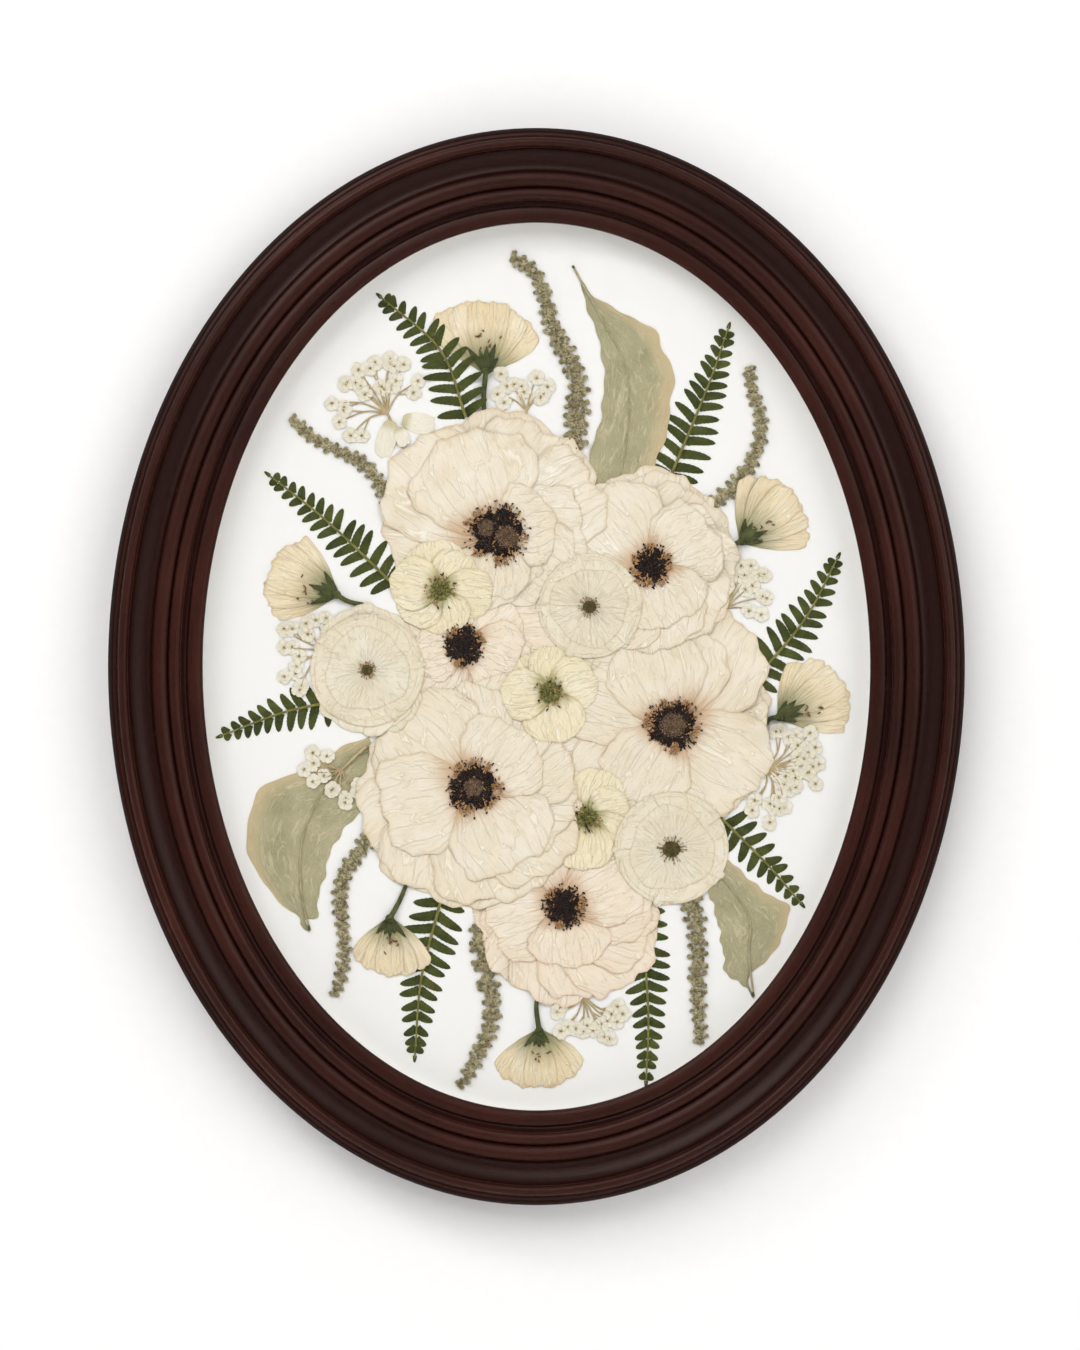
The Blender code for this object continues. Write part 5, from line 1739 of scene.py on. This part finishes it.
@dataclass(frozen=True)
class Strand(Pressed):
    """A hanging amaranth tassel: tight clusters of small bracts along a thin stem."""

    slot: ClassVar[str] = "amaranth_strand"

    widths: Point2
    way: tuple
    spacing: float = 2.3
    lumps: int = 5
    bracts: int = 6
    fullness: float = 1.3

    def lay(self, specimen: Specimen) -> None:
        """Lay the stem and the clusters.

        Args:
            specimen: The piece being laid.
        """
        rng, bed = specimen.rng, specimen.bed
        fine = smooth_way(self.way, 120)
        length = float(np.linalg.norm(np.diff(fine, axis=0), axis=1).sum())
        bed.settle(2)
        specimen.follow("stem", *tube_of(fine[::3], 0.5, 0.7, 7))
        clusters = int(length / self.spacing)
        hearts, sizes, turns = [], [], []
        for number in range(clusters):
            share = (number + 0.5) / clusters
            at = min(118, int(share * 119.0))
            ahead = fine[at + 1] - fine[at]
            ahead /= np.linalg.norm(ahead)
            across = np.array([-ahead[1], ahead[0]])
            half = 0.5 * self.fullness * (self.widths[0] + (self.widths[1] - self.widths[0]) * share)
            half *= rng.uniform(0.8, 1.12)
            heart = fine[at] + across * half * 0.22 * (-1.0) ** number
            for lump in range(self.lumps):
                side = (lump + 0.5) / self.lumps * 2.0 - 1.0
                hearts.append(heart + (across * side + ahead * rng.uniform(-0.3, 0.3)) * half * 0.78)
                size = np.array([rng.uniform(0.85, 1.25), rng.uniform(0.7, 0.95), 0.75])
                sizes.append(size * (0.5 + 0.16 * half))
                turns.append(math.atan2(ahead[1], ahead[0]) + side * 0.9 + rng.normal(0.0, 0.3))
        count = len(hearts)
        hearts, sizes, turns = np.array(hearts), np.array(sizes), np.array(turns)
        lifts = rng.uniform(0.5, 1.0, count)
        # the lower lumps take the darker tones and the bracts on top the lighter ones: painted shade in the
        # gaps between them and lighter tops
        specimen.scatter("strand", ball_shape(2), hearts, lifts, sizes, turns, rng.uniform(0.35, 1.0, count))
        angles = rng.uniform(0.0, DRAWN_TURN, (count, self.bracts))
        aside = np.stack([np.cos(angles), np.sin(angles)], axis=2) * sizes[:, None, :2] * 0.72
        places = (hearts[:, None] + aside).reshape(-1, 2)
        small = np.tile([0.8, 0.5, 0.42], (len(places), 1)) * rng.uniform(0.8, 1.25, (len(places), 1))
        specimen.scatter("strand", ball_shape(1), places, np.repeat(lifts + 0.42 * sizes[:, 2], self.bracts),
                         small, angles.ravel() + 0.25 * DRAWN_TURN, rng.uniform(0.0, 0.5, len(places)))
        bed.press(places[:, 0], places[:, 1], bed.height(places[:, 0], places[:, 1]) + 1.6)


@dataclass(frozen=True)
class BigLeaf(Pressed):
    """A large dried leaf between two edges, with a raised midrib and side veins."""

    slot: ClassVar[str] = "grey_leaf"

    left: tuple
    right: tuple
    stem: tuple
    margin_side: float = 0.0
    tone: float = 0.15
    veins: float = 9.0

    def lay(self, specimen: Specimen) -> None:
        """Loft the blade between its edges and lay it with its stem.

        Args:
            specimen: The piece being laid.
        """
        rng, bed = specimen.rng, specimen.bed
        across, along = 26, 46
        shape = grid_shape(across, along)
        side, way = shape.values["across"], shape.values["along"]
        row = np.rint(way * along).astype(int)
        left, right = smooth_way(self.left, along + 1)[row], smooth_way(self.right, along + 1)[row]
        share = 0.5 * (side + 1.0)
        flat = left * (1.0 - share)[:, None] + right * share[:, None]
        wobble = 0.45 * np.abs(side) ** 4 * (np.sin(way * 31.0 + 3.0 * side) + np.sin(way * 57.0))
        out = right - left
        out /= np.linalg.norm(out, axis=1)[:, None] + 1e-6
        flat += out * (wobble * np.sign(side))[:, None]
        slant = way - 0.35 * np.abs(side)
        vein = 1.0 - np.abs(((slant * self.veins) % 1.0) - 0.5) * 2.0
        relief = 0.14 * np.clip(0.25 - vein, 0.0, 1.0) * 4.0
        relief += creased(flat[:, 0], flat[:, 1], rng, 3, 4.5, 0.16, 50.0)
        margin = np.clip((side * self.margin_side - 0.55) / 0.4, 0.0, 1.0) if self.margin_side else 0.0
        bed.settle(4)
        specimen.lay("leaf", shape, np.column_stack([flat, relief]), 0.14, tone=self.tone, margin=margin)
        bed.settle(1)
        specimen.follow("leaf_rib", *tube_of(smooth_way(self.stem, 30), 0.55, 0.25, 7))
        specimen.follow("calyx", *tube_of(smooth_way(self.stem[:3], 24)[:6], 0.62, 0.3, 7))


@dataclass(frozen=True)
class Umbel(Pressed):
    """A spray of tiny white florets on thin rays."""

    slot: ClassVar[str] = "umbel_floret"

    foot: Point2
    hub: Point2
    florets: tuple
    loose: tuple = ()
    radius: float = 3.7
    eyes: int = 5

    def lay(self, specimen: Specimen) -> None:
        """Lay the stem, the rays and the florets.

        Args:
            specimen: The piece being laid.
        """
        rng, bed = specimen.rng, specimen.bed
        bed.settle(2)
        hub = np.array(self.hub)
        specimen.follow("ray", *tube_of(smooth_way([self.foot, self.hub], 12), 0.75, 0.6, 6))
        shape = grid_shape(6, 6)
        side, way = shape.values["across"], shape.values["along"]
        ahead = hub - np.array(self.foot)
        ahead /= np.linalg.norm(ahead)
        spots = []
        for spot in self.florets:
            spot = np.array(spot)
            far = float(np.linalg.norm(spot - hub))
            bend = hub + 0.42 * (spot - hub) + ahead * far * 0.12
            specimen.follow("ray", *tube_of(smooth_way([hub, bend, spot], 12), 0.46, 0.3, 5))
            spots.append(spot)
            aside = spot + (hub - spot) / far * 3.4 + rng.normal(0.0, 2.4, 2)
            specimen.follow("ray", *tube_of(smooth_way([bend, aside], 8), 0.34, 0.26, 5))
            spots.append(aside)
        for spot in spots:
            start = rng.uniform(0.0, 72.0)
            for number in range(5):
                reach = self.radius * rng.uniform(0.86, 1.08)
                half = 0.52 * reach * np.sin(np.clip(0.15 + 0.85 * way, 0.0, 1.0) * math.pi * 0.6)
                x = side * half * np.sqrt(np.clip(1.06 - way ** 5, 0.0, 1.0))
                y = reach * way * (1.0 - 0.1 * np.exp(-(side / 0.25) ** 2) * way ** 3)
                relief = 0.28 + 0.1 * (side + 1.0) + 0.12 * side ** 2 + 0.1 * rng.uniform()
                turn = start + number * 72.0 + rng.normal(0.0, 6.0)
                points = turned(np.column_stack([x, y, relief]), turn, spot)
                specimen.lay("floret", shape, points, 0.07, tone=rng.uniform())
            turns = rng.uniform(0.0, DRAWN_TURN, self.eyes)
            places = spot + rays(turns, rng.uniform(0.0, 0.55, self.eyes)[:, None])
            specimen.scatter("floret_eye", ball_shape(1), places, 0.5, np.full((self.eyes, 3), 0.3), turns,
                             rng.uniform(0.0, 1.0, self.eyes))
        oval = PetalCut(0.4, 0.55, 0.7, 0.8, 0.05, 2.0, 0.02, 0.1, 2.4, 12, 14, 0.07)
        for across, up, direction, length, width in self.loose:
            oval.lay(specimen, "floret", (across, up), direction, 0.0, length, width, 2)


@dataclass
class Bouquet:
    """Every pressed piece, laid from the board up."""

    ferns: tuple = (
        Fern("fern_upper_left", 11, (-65.0, 37.5), (-95.0, 66.0), (-121.5, 87.0), 13.0),
        Fern("fern_left", 12, (-86.5, -15.0), (-113.5, -20.5), (-143.0, -31.5), 12.5),
        Fern("fern_top_right", 13, (60.0, 84.5), (78.0, 128.0), (87.0, 154.0), 15.0),
        Fern("fern_right", 14, (97.5, -7.0), (121.0, 21.0), (136.5, 50.0), 14.0),
        Fern("fern_lower_right", 15, (81.0, -66.0), (103.5, -88.5), (120.0, -107.5), 12.0),
        Fern("fern_bottom_left", 16, (-43.0, -105.0), (-52.0, -141.0), (-55.0, -177.0), 15.0),
        Fern("fern_bottom_right", 17, (47.0, -108.0), (50.5, -155.5), (49.5, -188.5), 13.5))
    top_fern: Fern = Fern("fern_top_left", 18, (-32.0, 113.0), (-43.5, 143.0), (-71.0, 167.5), 15.0)
    strands: tuple = (
        Strand("amaranth_top", 21, (4.5, 9.0), (
            (-11.5, 185.0), (-1.5, 178.5), (3.5, 168.0), (5.5, 158.0), (11.5, 145.0), (17.5, 133.5),
            (19.0, 122.0), (17.5, 108.5), (17.5, 98.0))),
        Strand("amaranth_upper_left", 22, (3.8, 6.6), (
            (-111.0, 112.5), (-101.0, 103.5), (-89.5, 97.5), (-78.0, 91.5), (-72.0, 84.5), (-67.0, 75.0),
            (-65.0, 67.0))),
        Strand("amaranth_upper_right", 23, (3.8, 6.2), (
            (96.0, 135.5), (97.5, 124.5), (101.0, 114.0), (101.0, 104.0), (97.5, 93.0), (91.0, 84.0),
            (83.5, 76.5), (77.5, 72.0))),
        Strand("amaranth_lower_left", 24, (4.2, 6.4), (
            (-91.0, -148.5), (-87.5, -135.5), (-87.0, -122.5), (-88.5, -108.0), (-87.0, -94.5),
            (-80.5, -84.0),
            (-73.0, -74.5))),
        Strand("amaranth_bottom_left", 25, (4.5, 9.0), (
            (-34.5, -189.5), (-30.5, -183.0), (-26.0, -174.5), (-20.0, -160.0), (-21.0, -146.5),
            (-23.5, -132.0),
            (-25.5, -117.0))),
        Strand("amaranth_bottom_right", 26, (4.2, 8.0), (
            (74.0, -170.5), (73.5, -159.0), (72.5, -144.5), (73.0, -132.0), (72.0, -116.0), (69.0, -104.5))))
    leaves: tuple = (
        BigLeaf("leaf_left", 31, (
            (-102.5, -120.0), (-106.5, -117.5), (-107.5, -113.0), (-112.5, -109.5), (-119.5, -102.5),
            (-127.5, -91.0), (-131.0, -79.5), (-131.0, -72.5), (-127.0, -59.5), (-121.0, -52.0),
            (-109.5, -48.5), (-99.5, -43.5), (-89.5, -37.0), (-75.5, -32.0)), (
            (-102.5, -120.0), (-104.0, -114.5), (-99.5, -113.5), (-98.5, -105.0), (-93.0, -84.0),
            (-88.0, -75.0),
            (-78.5, -64.0), (-71.0, -47.0)),
            ((-102.5, -119.0), (-106.5, -100.0), (-105.0, -75.0), (-92.0, -50.0), (-76.0, -38.0)), -1.0, 0.0),
        BigLeaf("leaf_top", 32, (
            (20.0, 174.0), (21.0, 168.0), (25.5, 155.5), (29.5, 141.5), (30.5, 128.0), (29.5, 115.5),
            (27.0, 105.0), (23.0, 89.5), (26.0, 77.0)), (
            (20.5, 174.5), (25.0, 168.5), (34.5, 162.0), (47.0, 156.0), (53.5, 151.5), (57.5, 142.5),
            (62.0, 134.0), (61.0, 122.0), (59.5, 109.0), (56.0, 97.0), (49.0, 80.0)),
            ((16.5, 181.0), (20.2, 174.0), (29.0, 158.0), (40.5, 135.0), (41.5, 110.0), (37.0, 79.0)), 1.2),
        BigLeaf("leaf_right", 33, (
            (98.0, -150.0), (93.5, -143.5), (86.0, -139.5), (84.5, -130.5), (82.0, -116.0), (79.0, -105.5),
            (77.0, -100.0)), (
            (98.0, -150.0), (96.0, -140.0), (104.0, -133.0), (109.5, -125.0), (113.5, -115.0),
            (113.0, -107.0),
            (103.0, -102.0), (95.0, -94.5), (86.5, -87.5)),
            ((98.0, -149.0), (96.0, -130.0), (96.0, -113.0), (83.0, -94.0)), 1.0))
    low_umbels: tuple = (
        Umbel("umbel_top_left", 41, (-57.5, 94.5), (-67.5, 114.5), (
            (-73.0, 137.5), (-66.0, 139.0), (-60.0, 136.5), (-53.5, 129.0), (-80.5, 134.0), (-86.5, 127.5),
            (-92.5, 119.0), (-89.0, 110.5), (-84.0, 104.5), (-79.5, 126.5), (-70.0, 126.5), (-63.5, 129.0)),
            ((-65.5, 111.0, -105.0, 17.0, 9.0), (-60.5, 111.5, -12.0, 15.0, 9.5),
            (-62.5, 108.0, -68.0, 9.0, 6.5))),
        Umbel("umbel_top", 42, (-4.5, 106.0), (-4.5, 115.5), (
            (-16.0, 132.0), (-10.0, 127.5), (0.0, 130.5), (5.0, 126.5), (-17.5, 123.0), (2.0, 122.0))))
    umbels: tuple = (
        Umbel("umbel_left", 43, (-88.0, 7.5), (-94.5, 7.5), (
            (-114.0, 17.0), (-104.0, 19.5), (-95.0, 22.0), (-114.0, 8.5), (-108.5, 0.0), (-114.0, -4.5),
            (-107.0, -10.5))),
        Umbel("umbel_lower_left", 44, (-77.0, -36.0), (-88.0, -46.5), (
            (-101.0, -39.0), (-105.0, -46.5), (-101.0, -52.0), (-92.5, -56.0), (-86.5, -61.5),
            (-80.5, -56.5))),
        Umbel("umbel_upper_right", 45, (80.0, 22.0), (85.0, 26.5), (
            (97.0, 45.5), (103.0, 41.5), (97.5, 36.5), (104.0, 31.0), (101.5, 23.5), (92.5, 45.5))),
        Umbel("umbel_bottom", 47, (21.0, -144.0), (21.5, -149.0), (
            (9.5, -156.0), (14.0, -163.0), (21.0, -165.0), (25.5, -164.5), (33.0, -168.0), (36.5, -160.5),
            (39.0, -157.0), (29.5, -161.5))),
        Umbel("umbel_right", 46, (96.0, -47.0), (104.0, -46.0), (
            (110.5, -29.0), (117.0, -31.0), (123.5, -30.0), (126.0, -36.5), (121.0, -41.5), (127.5, -44.0),
            (122.5, -48.0), (126.0, -53.0), (116.0, -47.0), (112.0, -53.0), (117.0, -54.5), (97.5, -65.0),
            (105.5, -62.0), (112.0, -63.5), (105.5, -70.5))))
    low_bud: Bud = Bud("bud_top_left", 51, (-23.5, 113.0), (
        (-25.0, 135.0), (-37.5, 145.0), (-45.5, 158.0), (-40.5, 162.0), (-28.5, 164.5), (-20.0, 165.0),
        (-10.0, 159.5), (-0.5, 152.0), (-2.0, 146.0), (-11.5, 137.0), (-20.5, 132.0)))
    buds: tuple = (
        Bud("bud_left", 52, (-78.0, 28.0), (
            (-89.5, 34.0), (-95.0, 44.5), (-101.0, 52.0), (-109.5, 55.5), (-115.5, 52.0), (-122.5, 38.5),
            (-123.0, 33.0), (-119.5, 27.0), (-109.5, 25.0), (-101.0, 26.5), (-91.0, 31.0))),
        Bud("bud_right", 53, (104.0, -26.0), (
            (109.5, -21.0), (113.0, -6.5), (119.5, 0.0), (127.5, 2.0), (135.5, -2.5), (141.5, -14.0),
            (140.5, -23.5), (134.0, -27.5), (118.0, -27.5), (110.0, -24.5))),
        Bud("bud_bottom_left", 54, (-59.0, -99.0), (
            (-65.0, -113.5), (-56.5, -119.5), (-50.5, -129.5), (-52.0, -137.0), (-67.5, -139.5),
            (-81.0, -132.0), (-80.5, -127.0), (-75.5, -120.0), (-67.5, -114.0))),
        Bud("bud_bottom", 55, (0.5, -148.0), (
            (2.5, -164.5), (7.0, -167.0), (14.0, -173.0), (20.0, -181.5), (11.5, -188.5), (3.0, -190.0),
            (-11.5, -188.0), (-16.5, -184.0), (-10.0, -173.0), (-3.0, -166.5), (0.0, -164.5))),
        Bud("bud_top_right", 56, (86.5, 54.0), (
            (92.5, 58.0), (92.5, 76.5), (97.5, 84.5), (104.0, 86.0), (113.0, 81.5), (119.5, 74.0),
            (122.5, 65.0), (121.0, 54.5), (105.5, 52.5), (93.0, 55.0))))
    blooms: tuple = (
        Anemone("anemone_right", 63, (61.5, -26.5), (
            (145, 53, 34), (5, 44, 41), (30, 44, 36), (60, 55, 43), (90, 45, 41), (125, 43, 38),
            (160, 47, 38),
            (190, 51, 38), (222, 49, 38), (255, 45, 38), (290, 47, 38), (325, 47, 38)), 9.0, 14.0,
            ((0.0, 0.0, 6.4, 5.8),), "core_brown"),
        Anemone("anemone_middle", 61, (-33.0, 9.5), (
            (30, 38, 32), (60, 34, 27), (0, 42, 32), (-35, 32, 30), (-75, 27, 28), (-128, 33, 27),
            (175, 24, 25), (150, 27, 23), (100, 25, 25)), 6.0, 10.5, ((0.0, 0.0, 3.6, 3.4),),
            petal_finish="blush_petal", clumps=3),
        Anemone("anemone_bottom", 66, (12.5, -108.5), (
            (180, 41, 34), (205, 37, 32), (235, 42, 34), (262, 44, 34), (290, 42, 34), (318, 46, 36),
            (345, 42, 36), (10, 39, 34), (45, 31, 29), (90, 26, 27), (140, 33, 29)), 6.5, 11.0,
            ((0.0, 0.0, 3.8, 3.6),), petal_finish="blush_petal", clumps=3),
        Anemone("anemone_upper_right", 62, (52.0, 45.5), (
            (112, 44, 41), (78, 42, 36), (50, 39, 34), (15, 36, 36), (-12, 39, 36), (-45, 38, 36),
            (-85, 38, 36), (-130, 40, 36), (180, 40, 38), (145, 45, 38)), 6.0, 10.5, ((0.0, 0.0, 3.0, 4.6),)),
        Hellebore("hellebore_lower", 73, (22.5, -68.0), (
            (110, 21, 20), (65, 23, 20), (15, 20, 19), (-45, 23, 19), (-95, 24, 22))),
        Anemone("anemone_top", 64, (-18.0, 60.0), (
            (95, 55, 54), (60, 53, 45), (28, 51, 36), (0, 40, 36), (-35, 36, 34), (-75, 28, 27),
            (-115, 33, 32), (-155, 43, 38), (172, 50, 43), (140, 56, 45)), 9.0, 15.5,
            ((-4.9, 2.6, 3.9, 4.3), (4.6, -1.6, 5.4, 5.6)), "core_brown"),
        Anemone("anemone_lower_left", 65, (-28.5, -54.5), (
            (180, 51, 43), (215, 54, 47), (250, 54, 50), (285, 53, 45), (322, 52, 41), (-10, 46, 38),
            (30, 47, 40), (65, 51, 38), (100, 46, 38), (135, 49, 43)), 9.0, 14.0,
            ((0.0, 0.0, 4.8, 4.4),), "core_brown"),
        Ranunculus("ranunculus_right", 83, (61.0, -82.5), 25.8, 4.0),
        Ranunculus("ranunculus_left", 82, (-76.5, -1.5), 25.5, 2.5, (
            (-58, 30, 30), (90, 29, 42), (-95, 29, 42))),
        Hellebore("hellebore_upper", 71, (-43.5, 34.5), (
            (100, 23, 23), (50, 20, 19), (-5, 24, 18), (-80, 20, 19), (-150, 21, 20), (165, 23, 20))),
        Hellebore("hellebore_middle", 72, (6.0, -11.5), (
            (130, 20, 20), (80, 21, 19), (20, 22, 20), (-80, 23, 23), (185, 22, 19))),
        Ranunculus("ranunculus_middle", 81, (24.0, 27.0), 23.8, 3.0))

    def materials(self) -> dict[str, bpy.types.Material]:
        """Make the finishes that the pressed pieces share.

        Returns:
            The materials by key.
        """
        finishes = {
            "anemone_petal": PetalFinish("anemone_petal_tissue", stain_reach=0.38),
            "blush_petal": PetalFinish("blush_petal_tissue", (238, 228, 212), (231, 213, 189),
                                       (204, 164, 124), stain_reach=0.42),
            "ranunculus_petal": PetalFinish("ranunculus_petal_tissue", (233, 226, 208), (222, 210, 184),
                                            (186, 166, 124), stain=(150, 124, 84), stain_reach=0.16,
                                            crease_depth=0.0003, ridge=(238, 232, 216)),
            "hellebore_petal": PetalFinish("hellebore_petal_tissue", (238, 229, 206), (231, 216, 178),
                                           (200, 176, 126), (152, 146, 80), foot_reach=0.38),
            "bud_petal": PetalFinish("bud_petal_tissue", (239, 228, 202), (227, 206, 166), (188, 155, 106),
                                     (112, 116, 62), foot_reach=0.72, crease_depth=0.0003),
            "floret": PetalFinish("floret_tissue", (240, 236, 224), (226, 218, 196), (206, 194, 160),
                                  (190, 176, 130), crease_depth=0.0001),
            "fern": LeafFinish("fern_blade", (90, 96, 46), (45, 54, 22), (104, 104, 54), (110, 96, 60), 14.0,
                               0.35, 0.0),
            "leaf": LeafFinish("grey_leaf_blade", (180, 171, 138), (144, 140, 107), (214, 204, 170),
                               (208, 186, 146), 9.0, 0.52, 0.62, 0.0, 1.0, 1.8),
            "leaf_rib": SpeckFinish("leaf_rib", (184, 176, 142), (142, 134, 100), 300.0),
            "calyx": SpeckFinish("calyx_green", (92, 96, 50), (46, 52, 26), 240.0),
            "stem": SpeckFinish("dry_stem", (158, 140, 98), (116, 98, 62), 300.0),
            "stem_green": SpeckFinish("fern_midrib", (134, 130, 68), (90, 88, 42), 300.0),
            "ray": SpeckFinish("umbel_rays", (196, 178, 138), (160, 140, 100), 300.0),
            "strand": SpeckFinish("amaranth_bracts", (206, 194, 154), (88, 80, 52), 420.0, tone_share=0.85),
            "anther_dark": SpeckFinish("dark_anthers", (66, 42, 28), (22, 13, 9), 900.0),
            "anther_gold": SpeckFinish("golden_anthers", (206, 164, 114), (134, 94, 58), 900.0),
            "anther_tan": SpeckFinish("tan_anthers", (186, 152, 88), (128, 92, 46), 900.0),
            "filament": SpeckFinish("stamen_threads", (150, 108, 72), (84, 56, 38), 500.0),
            "core_dark": SpeckFinish("dark_core", (54, 36, 26), (18, 11, 8), 700.0),
            "core_brown": SpeckFinish("brown_core", (150, 122, 94), (76, 56, 42), 700.0),
            "knob_green": SpeckFinish("green_knob", (128, 118, 66), (70, 58, 32), 600.0),
            "nectary": SpeckFinish("nectary_green", (138, 136, 72), (86, 82, 42), 600.0),
            "floret_eye": SpeckFinish("floret_eyes", (150, 130, 84), (96, 80, 46), 900.0)}
        return {key: finish.build() for key, finish in finishes.items()}

    def build(self) -> None:
        """Lay every piece on the board in its order."""
        materials = self.materials()
        bed = PressBed(SIGHT_HALF_WIDTH, SIGHT_HALF_HEIGHT, BOARD_FRONT + 0.05)
        for piece in (*self.ferns, *self.strands, self.low_bud, *self.low_umbels, self.top_fern, *self.leaves,
                      *self.buds[:4], *self.umbels, self.buds[4], *self.blooms):
            piece.build(bed, materials)
            LOG.info("%s laid, top at %.2f mm", piece.node, bed.tops.max())


def write_sizes() -> None:
    """Bring the scene's evaluated state up to date."""
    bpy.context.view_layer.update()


def main() -> None:
    """Build the whole piece in order."""
    logging.basicConfig(level=logging.INFO, format="%(message)s")
    Moulding().build(WoodFinish())
    Boards().dress()
    BackFittings().dress()
    Bouquet().build()
    Stage().build()
    write_sizes()


if __name__ == "__main__":
    main()
